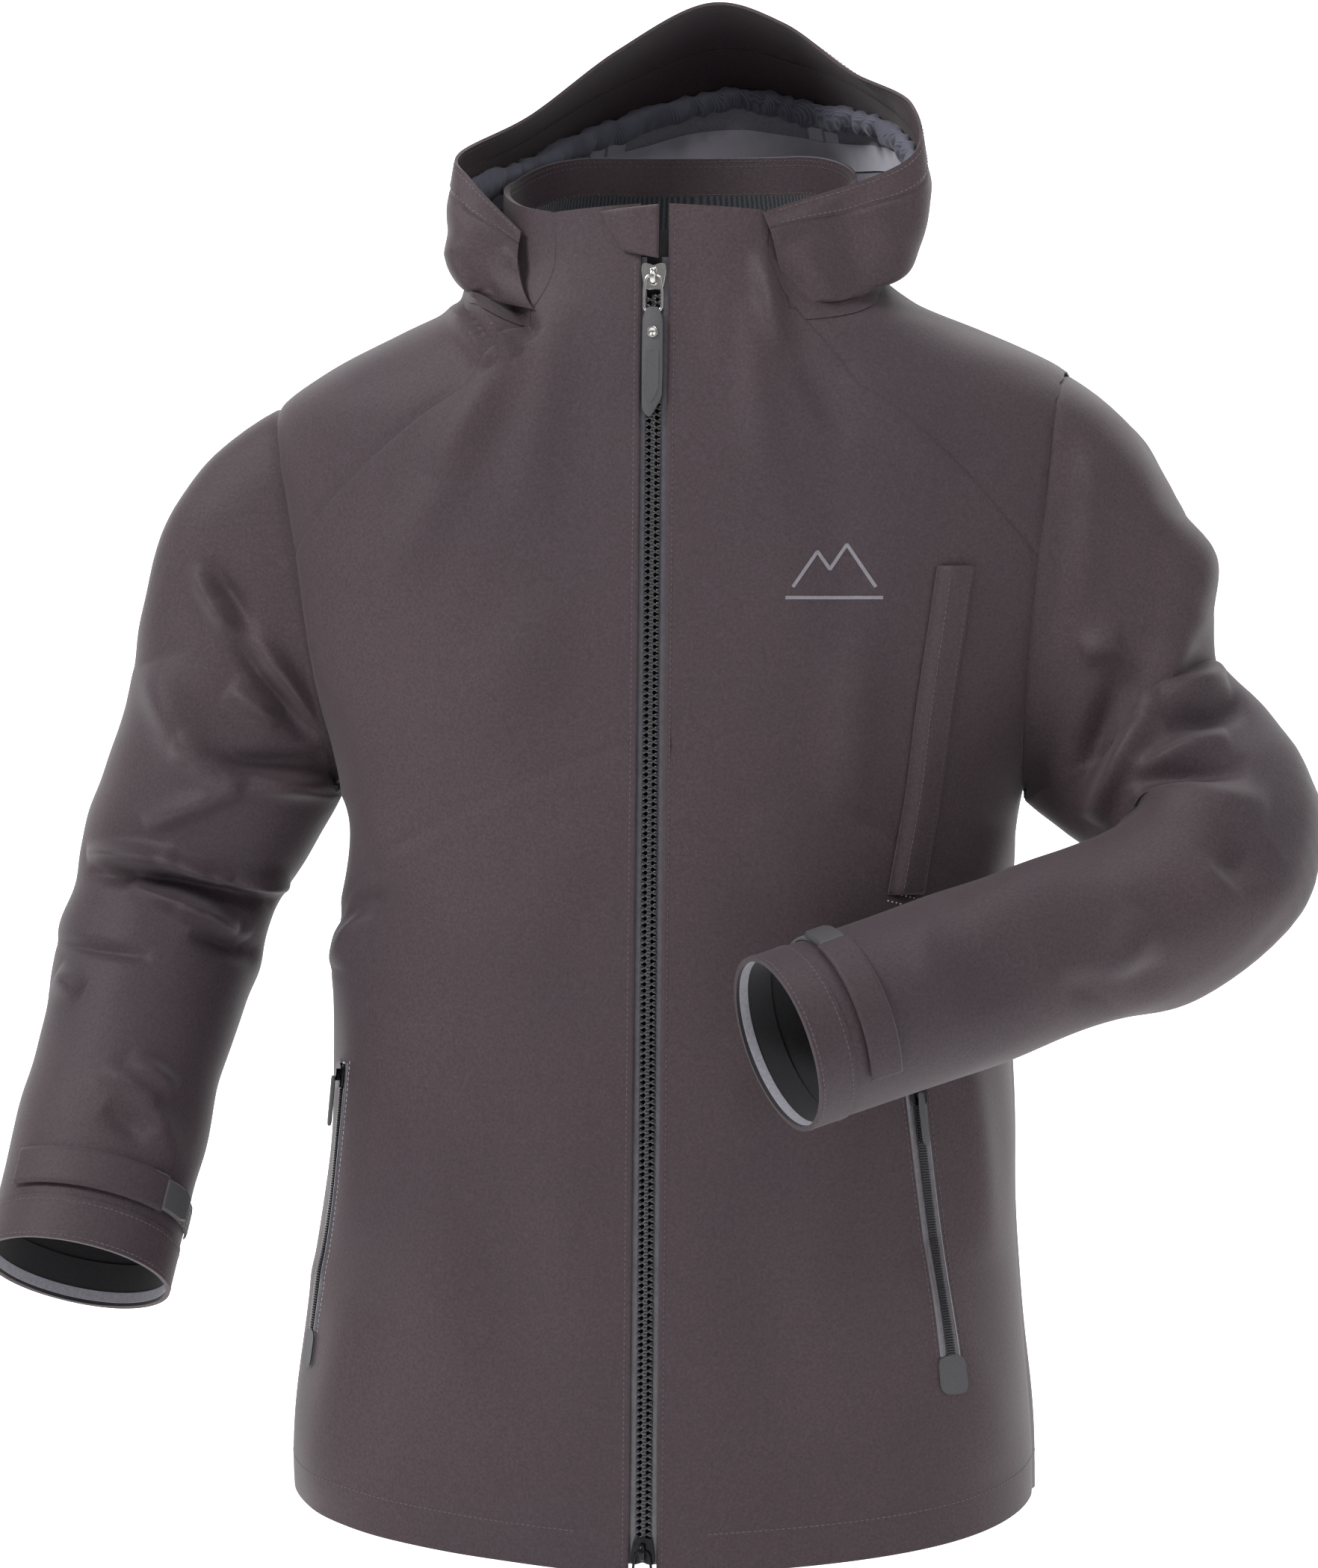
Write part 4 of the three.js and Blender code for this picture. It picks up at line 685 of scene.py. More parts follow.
for name, start, end, columns, dips in (("right", 0.004, 0.4, 110, "rt"), ("crown", 0.4, 0.6, 60, "lrt"),
                                        ("left", 0.6, 0.996, 110, "lt")):
    u, v = share_grid(80, columns)
    a, b = mix(start, end, u), mix(0.01, BRIM_START, v)
    outer = hood(a, b)
    normal = normal_of(hood, a, b, -1, 2e-3)
    outer = outer - normal * edge_dip(u, v, 200, 230, sides=dips)[..., None]
    piece = cloth(f"hood_{name}", outer, outer - SHELL * normal, [shell_cloth, hood_backer], turn=True)
    bends_with_hood(piece, f"hood_{name}_panel")
u, v = share_grid(16, 260)
a, b = mix(0.004, 0.996, u), mix(BRIM_START, 1.0, v)
outer = hood(a, b)
normal = normal_of(hood, a, b, -1, 2e-3)
outer = outer - normal * edge_dip(u, v, 600, 45, reach=3, sides="b")[..., None]
brim = cloth("hood_brim_band", outer, outer - 1.8 * normal, [shell_cloth], turn=True)
bends_with_hood(brim, "hood_brim")

# ---- Face elastic and seam tapes inside the hood ----
# A tunnel of grey twill gathered on an elastic, sewn inside the hood behind the brim, and welded grey tapes
# over the hood's seams.
twill, tree, shader = new_material("gathered_twill", "#5a5a69", 0.7, Sheen_Weight=0.2)
place = add_node(tree, "ShaderNodeTexCoord", {}, [])
diagonal = add_node(tree, "ShaderNodeTexWave", {"Scale": 300.0, "Distortion": 1.0, "bands_direction": "DIAGONAL"},
                    [(place.outputs["Object"], "Vector")])
shade = add_node(tree, "ShaderNodeValToRGB", {}, [(diagonal.outputs["Fac"], "Fac")])
shade.color_ramp.elements[0].color = linear("#4b4b59")
shade.color_ramp.elements[1].color = linear("#696978")
tree.links.new(shade.outputs["Color"], shader.inputs["Base Color"])
u, v = share_grid(26, 420)
a = mix(0.2, 0.86, u)
middle = hood(a, np.full_like(a, BRIM_START - 0.09))
normal = normal_of(hood, a, np.full_like(a, BRIM_START - 0.09), -1, 2e-3)
along = np.gradient(middle, axis=1)
along /= np.linalg.norm(along, axis=-1, keepdims=True)
across = np.cross(normal, along)
turn = 2 * math.pi * v
arc = a * 720
gathers = (1.5 * np.sin(arc / 3.4 + 2.2 * np.sin(arc / 11) + 0.8 * np.cos(turn)) + 0.5 * np.sin(arc / 1.4)
           + 0.7 * np.sin(arc / 7.0 + 1.3) * np.sin(turn + arc / 17))
ends = np.minimum(1, np.minimum(u, 1 - u) * 30) ** 0.5
wide = (8.6 + 0.9 * np.sin(arc / 21) + 0.35 * gathers) * ends + 0.3
tall = (4.6 + gathers) * ends + 0.2
tube = middle - normal * 7.2 + across * (np.cos(turn) * wide)[..., None] + normal * (np.sin(turn) * tall)[..., None]
tube = tube[:-1].transpose(1, 0, 2)
inside = tube - 0.3 * (tube - (middle - normal * 7.2)[:-1].transpose(1, 0, 2))
elastic = cloth("face_elastic", tube, inside, [twill], wrap=True)
bends_with_hood(elastic, "hood_face_elastic")

# The brim's shell facing runs back inside the hood as far as the elastic.
u, v = share_grid(24, 300)
a, b = mix(0.006, 0.994, u), mix(BRIM_START - 0.1, BRIM_START + 0.02, v)
base = hood(a, b)
normal = normal_of(hood, a, b, -1, 2e-3)
brim_facing = cloth("hood_brim_facing", base - 2.0 * normal, base - 2.8 * normal, [shell_cloth], turn=True)
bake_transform(brim_facing)

tape_film, tree, shader = new_material("welded_seam_tape", "#cfcdd6", 0.35, Coat_Weight=0.3)
place = add_node(tree, "ShaderNodeTexCoord", {}, [])
film = add_node(tree, "ShaderNodeTexNoise", {"Scale": 70.0, "Detail": 3.0}, [(place.outputs["Object"], "Vector")])
shade = add_node(tree, "ShaderNodeValToRGB", {}, [(film.outputs["Fac"], "Fac")])
shade.color_ramp.elements[0].color = linear("#bdbbc5")
shade.color_ramp.elements[1].color = linear("#dddbe4")
tree.links.new(shade.outputs["Color"], shader.inputs["Base Color"])
for word, middle_share in (("right", 0.4), ("left", 0.6)):
    u, v = share_grid(70, 8)
    a, b = mix(middle_share - 0.017, middle_share + 0.017, u), mix(0.05, BRIM_START - 0.1, v)
    base = hood(a, b)
    normal = normal_of(hood, a, b, -1, 2e-3)
    tape = cloth(f"hood_tape_{word}", base - 1.2 * normal, base - 1.6 * normal, [tape_film], turn=True)
    bends_with_hood(tape, f"hood_seam_tape_{word}")
u, v = share_grid(10, 260)
a, b = mix(0.27, 0.8, u), mix(BRIM_START - 0.24, BRIM_START - 0.17, v)
base = hood(a, b)
normal = normal_of(hood, a, b, -1, 2e-3)
brim_tape = cloth("hood_tape_brim", base - 1.9 * normal, base - 2.3 * normal, [tape_film], turn=True)
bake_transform(brim_tape)

# ---- Sleeves ----
# Each arm is a tube of the shell cloth sewn into its armhole and bent at the elbow. The left one lies across
# the body and the right one hangs, so cloth bunches in the crook of each elbow. Near-black tricot lines them,
# as painted shade for the dark inside of the cuffs.
ARMS = {
    "left": dict(side=1, elbow=(364, -58, 409), cuff=(84, -215, 320), turn=0.94, round=115, full=0.5, girth=1.0,
                 share=0.64, tab=(0.35, 2.35), reach=(6, 78), folds=[
                     ((313, 602), (302, 545), 12, 5), ((303, 550), (288, 495), 11, 6), ((290, 500), (256, 436), 9, 6),
                     ((272, 520), (243, 446), 9, -4), ((232, 618), (222, 535), 11, -4.5), ((250, 640), (246, 560), 11, 3),
                     ((243, 650), (256, 622), 8, 3.5), ((247, 530), (270, 536), 9, 3.5), ((298, 500), (330, 512), 9, 6),
                     ((300, 488), (340, 498), 7, -5), ((283, 460), (330, 480), 7, 5), ((286, 452), (342, 462), 6, -4),
                     ((280, 446), (352, 440), 10, 4), ((330, 400), (352, 420), 16, -5), ((262, 330), (284, 374), 14, 4),
                     ((240, 330), (296, 344), 10, -3), ((185, 380), (250, 408), 20, 2.5), ((170, 330), (215, 352), 16, -2.5),
                     ((150, 372), (160, 330), 10, 2.5), ((300, 610), (322, 520), 14, 3)]),
    "right": dict(side=-1, elbow=(-311, 18, 378), cuff=(-336, -112, 168), turn=1.2, round=60, full=0.0, girth=1.05,
                  share=0.6, tab=(-0.9, 1.1), reach=(4, 50), folds=[
                      ((-270, 576), (-248, 538), 7, 4.5), ((-262, 580), (-232, 526), 7, -4), ((-255, 556), (-200, 492), 8, 5),
                      ((-250, 540), (-205, 482), 6, -4), ((-250, 506), (-224, 490), 7, 4.5), ((-294, 520), (-275, 470), 12, 5),
                      ((-278, 476), (-246, 452), 9, 5), ((-250, 453), (-192, 452), 7, 4.5), ((-262, 466), (-200, 464), 7, -4),
                      ((-298, 430), (-248, 450), 7, 4), ((-332, 412), (-284, 409), 6, 6.5), ((-288, 410), (-254, 397), 6, 6),
                      ((-258, 398), (-218, 393), 6, 6), ((-330, 402), (-226, 384), 6, -6), ((-308, 396), (-274, 376), 6, 5.5),
                      ((-290, 392), (-250, 370), 6, 5), ((-280, 378), (-243, 361), 6, 5), ((-270, 368), (-236, 352), 7, -5),
                      ((-352, 360), (-300, 352), 4, -2.5), ((-326, 286), (-297, 266), 8, 3.5), ((-308, 290), (-284, 274), 7, 3.5),
                      ((-300, 268), (-286, 230), 9, 3), ((-322, 262), (-300, 246), 8, -3), ((-352, 340), (-338, 332), 8, 3.5)]),
}
TURN_SHARE = 0.3
CUFF_WIDTH = 34
sleeve_radius = curve_through([(0, 66), (0.35, 58), (0.55, 54), (0.8, 53), (1, 52)])


def unit(v):
    return v / np.linalg.norm(v, axis=-1, keepdims=True)


def turned(v, start, goal):
    """Vector v after the smallest turn that takes unit vector start to unit vector goal."""
    axis = np.cross(start, goal)
    return v + np.cross(axis, v) + np.cross(axis, np.cross(axis, v)) / (1 + start @ goal)


def arm_rings(arm):
    """Rings of an arm: first about a line under the armpit, then along straight, bend and straight to the cuff.

    Each row is the ring's share of the sleeve, its centre, its front and up directions, and its two radii.
    """
    side, elbow, cuff = arm["side"], np.array(arm["elbow"], float), np.array(arm["cuff"], float)
    pivot = np.array([side * 198 + sideways_pull(ARMPIT), 0, 436])
    half_height = (armhole_top(side) - ARMPIT) / 2
    rings = []
    for t in np.linspace(0, 1, 25):
        a = arm["turn"] * t
        up = np.array([side * math.sin(a), 0, math.cos(a)])
        tall = mix(half_height, 66 * arm["girth"], mix(math.sin(t * math.pi / 2), t, arm["full"]))
        centre = pivot + up * (mix(14, 8, t) + tall)
        rings.append((t * TURN_SHARE, centre, np.array([0.0, -1, 0]), up, mix(58, 66 * arm["girth"] * 0.9, t), tall))
    last_along = np.array([side * math.cos(arm["turn"]), 0, -math.sin(arm["turn"])])
    start = rings[-1][1]
    into = elbow - unit(elbow - start) * arm["round"]
    out = elbow + unit(cuff - elbow) * arm["round"]
    t = np.linspace(0, 1, 400)[:, None]
    path = np.concatenate([mix(start, into, t), (1 - t)**2 * into + 2 * t * (1 - t) * elbow + t**2 * out, mix(out, cuff, t)])
    run = np.concatenate([[0], np.cumsum(np.linalg.norm(np.diff(path, axis=0), axis=1))])
    front, up = rings[-1][2], rings[-1][3]
    for i in range(1, 61):
        t = i / 60
        centre, near, far = [np.array([np.interp(np.clip(t + d, 0, 1) * run[-1], run, path[:, k]) for k in range(3)])
                             for d in (0, -0.002, 0.002)]
        pull = 0.25 if i == 1 else max(smooth(t * 6), 0.35)
        along = unit(mix(last_along, unit(far - near), pull))
        front, up = turned(front, last_along, along), turned(up, last_along, along)
        radius = sleeve_radius(t) * arm["girth"]
        rings.append((TURN_SHARE + t * (1 - TURN_SHARE), centre, front, up, radius * mix(0.9, 0.94, t), radius))
        last_along = along
    return rings


def armhole_loop(side, phi):
    """The armhole seam by the angle round its middle: the longest reach that stays inside the body's section."""
    top = armhole_top(side)
    middle = (ARMPIT + top) / 2
    near, far = np.zeros_like(phi), np.full_like(phi, 150.0)
    for _ in range(26):
        r = (near + far) / 2
        z = middle + r * np.sin(phi)
        ratio = np.minimum(1, armhole_span(z, side) / half_width(z))
        depth = np.where(np.cos(phi) < 0, back_depth(z), front_depth(z)) * (1 - ratio**SQUARENESS) ** (1 / SQUARENESS)
        inside = (z > ARMPIT) & (z < top) & (np.abs(r * np.cos(phi)) < depth)
        near, far = np.where(inside, r, near), np.where(inside, far, r)
    z = middle + near * np.sin(phi)
    span = armhole_span(z, side)
    x = side * (span + 0.8) + sideways_pull(z) * np.minimum(1, span / half_width(z))
    return np.stack([x, -near * np.cos(phi), z], -1)


def arm_surfaces(arm):
    """The smooth sleeve and the draped one as functions of share along it and angle round it (0 at the front)."""
    rings = arm_rings(arm)
    shares = np.array([ring[0] for ring in rings])
    fields = [np.array([ring[k] for ring in rings]) for k in (1, 2, 3, 4, 5)]

    def ring_point(s, phi):
        centre, front, up = [np.stack([np.interp(s, shares, f[:, k]) for k in range(3)], -1) for f in fields[:3]]
        deep, tall = [np.interp(s, shares, f) for f in fields[3:]]
        return centre + front * (deep * np.cos(phi))[..., None] + up * (tall * np.sin(phi))[..., None]

    def bare(s, phi):
        s, phi = np.broadcast_arrays(np.asarray(s, float), np.asarray(phi, float))
        fade = (1 - smooth(s / TURN_SHARE))[..., None]
        return ring_point(s, phi) + (armhole_loop(arm["side"], phi) - ring_point(0 * s, phi)) * fade

    def draped(s, phi):
        base = bare(s, phi)
        normal = normal_of(bare, s, phi, arm["side"], 2e-3)
        x, z = front_view(base)
        facing = smooth((-(normal @ VIEW_AHEAD) + 0.15) / 0.5)
        listed = sum(crease(x, z, *fold) for fold in arm["folds"]) * facing
        calm = smooth(s / 0.07) * mix(1, 0.15, smooth((s - 0.8) / 0.12))
        bend = np.exp(-(((s - arm["share"] + 0.1) / 0.12) ** 2))
        loose = (1.8 + 1.6 * bend) * ripples(base, 95, 31 + arm["side"], (1, 1, 1.3))
        fine = (0.7 + 1.5 * bend) * ripples(base, 38, 40 + arm["side"], (0.6, 0.6, 1.5))
        return base + normal * ((2.1 * listed + (1 - 0.4 * facing) * loose + (1 - 0.45 * facing) * fine) * calm)[..., None]

    def centre_at(s):
        return np.array([np.interp(s, shares, fields[0][:, k]) for k in range(3)])

    return bare, draped, centre_at


# Near-black tricot: as the inside face of the sleeves and cuff hems it is painted shade for the dark inside of the
# cuffs; it also makes the storm flap and the pocket bags.
dark_tricot, tree, shader = new_material("dark_tricot", "#1d1c1f", 0.85, Sheen_Weight=0.2)
place = add_node(tree, "ShaderNodeTexCoord", {}, [])
knots = add_node(tree, "ShaderNodeTexNoise", {"Scale": 700.0, "Detail": 2.0}, [(place.outputs["Object"], "Vector")])
shade = add_node(tree, "ShaderNodeValToRGB", {}, [(knots.outputs["Fac"], "Fac")])
shade.color_ramp.elements[0].color = linear("#121114")
shade.color_ramp.elements[1].color = linear("#2b2a2e")
tree.links.new(shade.outputs["Color"], shader.inputs["Base Color"])

SLEEVE_CUT = 0.46
sleeves = {}
for word, arm in ARMS.items():
    side = arm["side"]
    bare_sleeve, sleeve, centre_at = arm_surfaces(arm)
    per_share = np.linalg.norm(np.subtract(arm["elbow"], arm["cuff"])) / (1 - arm["share"])
    cuff_start = 1 - CUFF_WIDTH / per_share
    sleeves[word] = sleeve, per_share, cuff_start
    hand_way = unit(np.subtract(arm["cuff"], arm["elbow"]).astype(float))

    def tube(start, end, rows, columns, outward, inward, name, materials, tucked=False):
        v, phi = np.meshgrid(np.linspace(start, end, rows), np.linspace(0, 2 * math.pi, columns, endpoint=False),
                             indexing="ij")
        outer = sleeve(v, phi)
        normal = normal_of(sleeve, v, phi, side, 2e-3)
        top, under = outer + normal * outward, outer + normal * inward
        if tucked:
            for grid in (top, under):
                grid[0] -= normal[0] * 1.4 + [side * 3.0, 0, 0]
        return cloth(name, top, under, materials, wrap=True, turn=side < 0)

    # The inside face is near-black tricot, painted shade that darkens the sleeve's opening.
    upper = tube(0, SLEEVE_CUT, 130, 190, 0, -SHELL, f"{word}_sleeve_top", [shell_cloth, dark_tricot], tucked=True)
    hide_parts(f"{word}_upper_sleeve")
    seam_way = unit(np.array([side * 0.99, 0, -0.13]))
    seam_foot = np.array([side * 200.0, 0, ARMPIT])
    ends = [to_frame(seam_foot + seam_way * reach) for reach in arm["reach"]]
    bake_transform(upper)

    lower = tube(SLEEVE_CUT, cuff_start + 0.002, 150, 190, 0, -SHELL, f"{word}_sleeve_end", [shell_cloth, dark_tricot])
    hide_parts(f"{word}_lower_sleeve")
    hinge = centre_at(arm["share"])
    ends = [to_frame(hinge + hand_way * reach) for reach in (-8, 62)]
    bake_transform(lower)

    tape = tube(1 - 11 / per_share, 1 - 3 / per_share, 5, 190, -2.1, -2.5, f"{word}_cuff_tape", [hood_backer])
    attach(tape, f"{word}_forearm")
    # The cuff hem's inside face is near-black tricot too, painted shade at the cuff's opening.
    band = tube(cuff_start, 1, 14, 190, 0.7, -2.0, f"{word}_cuff_hem", [shell_cloth, dark_tricot])
    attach(band, f"{word}_forearm")
    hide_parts(f"{word}_cuff_band")

# ---- Cuff closures ----
# Round each wrist: a strip of black loop pile sewn to the sleeve, and a tab of folded shell cloth over it that
# ends in a moulded grey rubber grip.
loop_pile, tree, shader = new_material("nylon_loop_pile", "#0c0b0d", 1.0, Sheen_Weight=0.35, Sheen_Roughness=0.6)
place = add_node(tree, "ShaderNodeTexCoord", {}, [])
fuzz = add_node(tree, "ShaderNodeTexVoronoi", {"Scale": 900.0}, [(place.outputs["Object"], "Vector")])
shade = add_node(tree, "ShaderNodeValToRGB", {}, [(fuzz.outputs["Distance"], "Fac")])
shade.color_ramp.elements[0].color = linear("#1f1e22")
shade.color_ramp.elements[1].color = linear("#060506")
tree.links.new(shade.outputs["Color"], shader.inputs["Base Color"])
bump = add_node(tree, "ShaderNodeBump", {"Strength": 0.8, "Distance": 0.0008}, [(fuzz.outputs["Distance"], "Height")])
tree.links.new(bump.outputs["Normal"], shader.inputs["Normal"])

rubber, tree, shader = new_material("moulded_rubber", "#454447", 0.55, Specular_IOR_Level=0.4)
place = add_node(tree, "ShaderNodeTexCoord", {}, [])
skin = add_node(tree, "ShaderNodeTexNoise", {"Scale": 900.0, "Detail": 2.0}, [(place.outputs["Object"], "Vector")])
shade = add_node(tree, "ShaderNodeValToRGB", {}, [(skin.outputs["Fac"], "Fac")])
shade.color_ramp.elements[0].color = linear("#3c3b3e")
shade.color_ramp.elements[1].color = linear("#4d4c4f")
tree.links.new(shade.outputs["Color"], shader.inputs["Base Color"])
bump = add_node(tree, "ShaderNodeBump", {"Strength": 0.3, "Distance": 0.0002}, [(skin.outputs["Fac"], "Height")])
tree.links.new(bump.outputs["Normal"], shader.inputs["Normal"])


def cuff_strip(word, name, start, end, width, low, high, materials, rough=0.0, taper=0.0, rows=16, columns=90):
    """A strip round the sleeve between two angles: its edges are rounded off, rough adds pile, taper narrows one end."""
    sleeve, per_share, cuff_start = sleeves[word]
    side = ARMS[word]["side"]
    u, v = share_grid(rows, columns)
    narrow = 1 - taper * smooth((0.35 - u) / 0.35)
    s = cuff_start - 0.012 - 15 / per_share + (v - 0.5) * width * narrow / per_share
    phi = mix(start, end, u)
    base = sleeve(s, phi)
    normal = normal_of(sleeve, s, phi, side, 2e-3)
    edge = np.minimum(np.minimum(v, 1 - v) * width, np.minimum(u, 1 - u) * 50 * abs(end - start))
    crown = np.minimum(1, edge / 1.2) ** 0.5
    top = low + (high - low) * (0.35 + 0.65 * crown) + rough * (np.sin(u * 791 + v * 63) * np.sin(v * 97 - u * 31))
    piece = cloth(name, base + normal * top[..., None], base + normal * (low + 0 * top)[..., None], materials,
                  turn=side > 0)
    return piece


for word, arm in ARMS.items():
    begin, finish = arm["tab"]
    patch = cuff_strip(word, f"{word}_loop_patch", begin - 0.9, finish - 0.5, 22, 0.5, 2.0, [loop_pile], rough=0.22,
                       rows=26, columns=150)
    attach(patch, f"{word}_forearm")
    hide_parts(f"{word}_cuff_loop_patch")
    tab = cuff_strip(word, f"{word}_tab_cloth", begin, finish - 0.3, 29, 2.5, 4.3, [shell_cloth])
    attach(tab, f"{word}_cuff_strap")
    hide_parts(f"{word}_cuff_tab")
    tip = cuff_strip(word, f"{word}_tab_grip", begin - 0.42, begin + 0.03, 25, 2.5, 4.9, [rubber], taper=0.25,
                     columns=50)
    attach(tip, f"{word}_cuff_strap")
    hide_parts(f"{word}_cuff_tab_tip")

# ---- Main zip ----
# A moulded size 8 zip with two sliders. Each row is separate acetal teeth on a coated tape, 3.7 mm apart,
# that interlock with the other row. The tape lies behind the panels' folded edges.
TOOTH_PITCH = 3.7
ZIP_OUT = unit(np.array([0, -1, FRONT_SLOPE]))
ZIP_UP = unit(np.array([0, FRONT_SLOPE, 1]))
ZIP_FOOT = np.array([0, -front_depth(0), 0])
ZIP_LOW, ZIP_HIGH = 15.0, 753.4
TAPE_LEVEL = -2.0


def on_zip(x, out, up):
    """A point in the zip's own directions: across, out of the cloth, and up along the chain."""
    x, out, up = np.broadcast_arrays(x, out, up)
    return ZIP_FOOT + x[..., None] * [1.0, 0, 0] + out[..., None] * ZIP_OUT + up[..., None] * ZIP_UP


def mesh_piece(name, points, faces, materials, body, node, angle=35):
    """A closed mesh from points in millimetres that rides on one body."""
    mesh = bpy.data.meshes.new(name)
    mesh.from_pydata(to_frame(np.asarray(points, float)).tolist(), [], faces)
    mesh.polygons.foreach_set("use_smooth", [True] * len(mesh.polygons))
    for material in materials:
        mesh.materials.append(material)
    mesh.set_sharp_from_angle(angle=math.radians(angle))
    piece = bpy.data.objects.new(name, mesh)
    bpy.context.scene.collection.objects.link(piece)
    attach(piece, body)
    if node:
        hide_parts(node)
    return piece


def rings_mesh(rings, first=0):
    """Quads between closed rings of equal count, and one cap at each end."""
    count, columns = len(rings), len(rings[0])
    faces = grid_faces(count, columns, True, first).tolist()
    faces.append([first + i for i in range(columns)][::-1])
    faces.append([first + (count - 1) * columns + i for i in range(columns)])
    return np.concatenate(rings), faces


def repeated(template, faces, places):
    """One mesh of many copies: places(template) gives each copy's points, shape (copies, points, 3)."""
    copies = places(template)
    step = copies.shape[1]
    every = [[i + k * step for i in face] for k in range(len(copies)) for face in faces]
    return copies.reshape(-1, 3), every


def grown(outline, amount):
    """An outline moved outwards along its corners' bisectors."""
    ahead, behind = np.roll(outline, -1, axis=0) - outline, outline - np.roll(outline, 1, axis=0)
    a, b = unit(ahead), unit(behind)
    bisector = unit(np.stack([a[:, 1] + b[:, 1], -a[:, 0] - b[:, 0]], -1))
    return outline + amount * bisector


def rounded(outline, radius, steps=4):
    """An outline whose corners are replaced by quadratic arcs."""
    outline = np.array(outline, float)
    ahead, behind = np.roll(outline, -1, axis=0), np.roll(outline, 1, axis=0)
    reach = np.minimum(radius, 0.45 * np.minimum(np.linalg.norm(ahead - outline, axis=1),
                                                 np.linalg.norm(behind - outline, axis=1)))[:, None]
    start, stop = outline + unit(behind - outline) * reach, outline + unit(ahead - outline) * reach
    t = np.linspace(0, 1, steps)[None, :, None]
    arcs = (1 - t)**2 * start[:, None] + 2 * t * (1 - t) * outline[:, None] + t**2 * stop[:, None]
    return arcs.reshape(-1, 2)


def plate(outline, low, high, bevel, place=on_zip):
    """A flat plate with bevelled rims: rings of one outline at the levels low to high."""
    levels = [(low, -bevel), (low + bevel, 0), (high - bevel, 0), (high - 0.35 * bevel, -0.35 * bevel), (high, -bevel)]
    rings = []
    for level, grow in levels:
        flat = grown(outline, grow)
        rings.append(place(flat[:, 0], np.full(len(flat), level), flat[:, 1]))
    return rings_mesh(rings)


def loop_bar(outline, inward, low, high, place=on_zip):
    """A closed flat ring: a rounded bar carried along an outline, from its outer edge to inward inside it."""
    turn = np.linspace(0, 2 * math.pi, 10, endpoint=False)
    across = (1 + np.sign(np.cos(turn)) * np.abs(np.cos(turn)) ** 0.7) / 2 * inward
    level = mix(low, high, (1 + np.sign(np.sin(turn)) * np.abs(np.sin(turn)) ** 0.7) / 2)
    rings = []
    for a, z in zip(across, level):
        flat = grown(outline, -a)
        rings.append(place(flat[:, 0], np.full(len(flat), z), flat[:, 1]))
    grid = np.stack(rings)
    rows, columns = grid.shape[:2]
    faces = grid_faces(rows + 1, columns, True)
    return grid.reshape(-1, 3), (faces % (rows * columns)).tolist()


def joined(*meshes):
    """Several (points, faces) meshes as one."""
    points, faces, first = [], [], 0
    for some_points, some_faces in meshes:
        points.append(np.asarray(some_points))
        faces += [[i + first for i in face] for face in some_faces]
        first += len(some_points)
    return np.concatenate(points), faces


acetal, tree, shader = new_material("moulded_acetal", "#1b1a1e", 0.24, Coat_Weight=0.35)
place = add_node(tree, "ShaderNodeTexCoord", {}, [])
mould = add_node(tree, "ShaderNodeTexNoise", {"Scale": 400.0, "Detail": 2.0}, [(place.outputs["Object"], "Vector")])
shade = add_node(tree, "ShaderNodeValToRGB", {}, [(mould.outputs["Fac"], "Fac")])
shade.color_ramp.elements[0].color = linear("#141317")
shade.color_ramp.elements[1].color = linear("#26252a")
tree.links.new(shade.outputs["Color"], shader.inputs["Base Color"])

coated_tape, tree, shader = new_material("polyurethane_coated_tape", "#4c494e", 0.22, Coat_Weight=0.6,
                                         Coat_Roughness=0.15)
place = add_node(tree, "ShaderNodeTexCoord", {}, [])
rib = add_node(tree, "ShaderNodeTexNoise", {"Scale": 260.0, "Detail": 3.0}, [(place.outputs["Object"], "Vector")])
shade = add_node(tree, "ShaderNodeValToRGB", {}, [(rib.outputs["Fac"], "Fac")])
shade.color_ramp.elements[0].color = linear("#403d42")
shade.color_ramp.elements[1].color = linear("#5d5a60")
tree.links.new(shade.outputs["Color"], shader.inputs["Base Color"])
bump = add_node(tree, "ShaderNodeBump", {"Strength": 0.25, "Distance": 0.0004}, [(rib.outputs["Fac"], "Height")])
tree.links.new(bump.outputs["Normal"], shader.inputs["Normal"])


def metal(name, low_colour, high_colour, roughness):
    """Plated die-cast zinc: the plating's tone and polish vary a little over a few millimetres."""
    material, tree, shader = new_material(name, high_colour, roughness, Metallic=1.0)
    place = add_node(tree, "ShaderNodeTexCoord", {}, [])
    cast = add_node(tree, "ShaderNodeTexNoise", {"Scale": 500.0, "Detail": 3.0}, [(place.outputs["Object"], "Vector")])
    shade = add_node(tree, "ShaderNodeValToRGB", {}, [(cast.outputs["Fac"], "Fac")])
    shade.color_ramp.elements[0].color = linear(low_colour)
    shade.color_ramp.elements[1].color = linear(high_colour)
    tree.links.new(shade.outputs["Color"], shader.inputs["Base Color"])
    bump = add_node(tree, "ShaderNodeBump", {"Strength": 0.15, "Distance": 0.0002}, [(cast.outputs["Fac"], "Height")])
    tree.links.new(bump.outputs["Normal"], shader.inputs["Normal"])
    return material


bright_zinc = metal("nickel_plated_zinc", "#b3b1ae", "#dcdad7", 0.22)
black_zinc = metal("black_lacquered_zinc", "#1b1b1d", "#3a3a3d", 0.3)

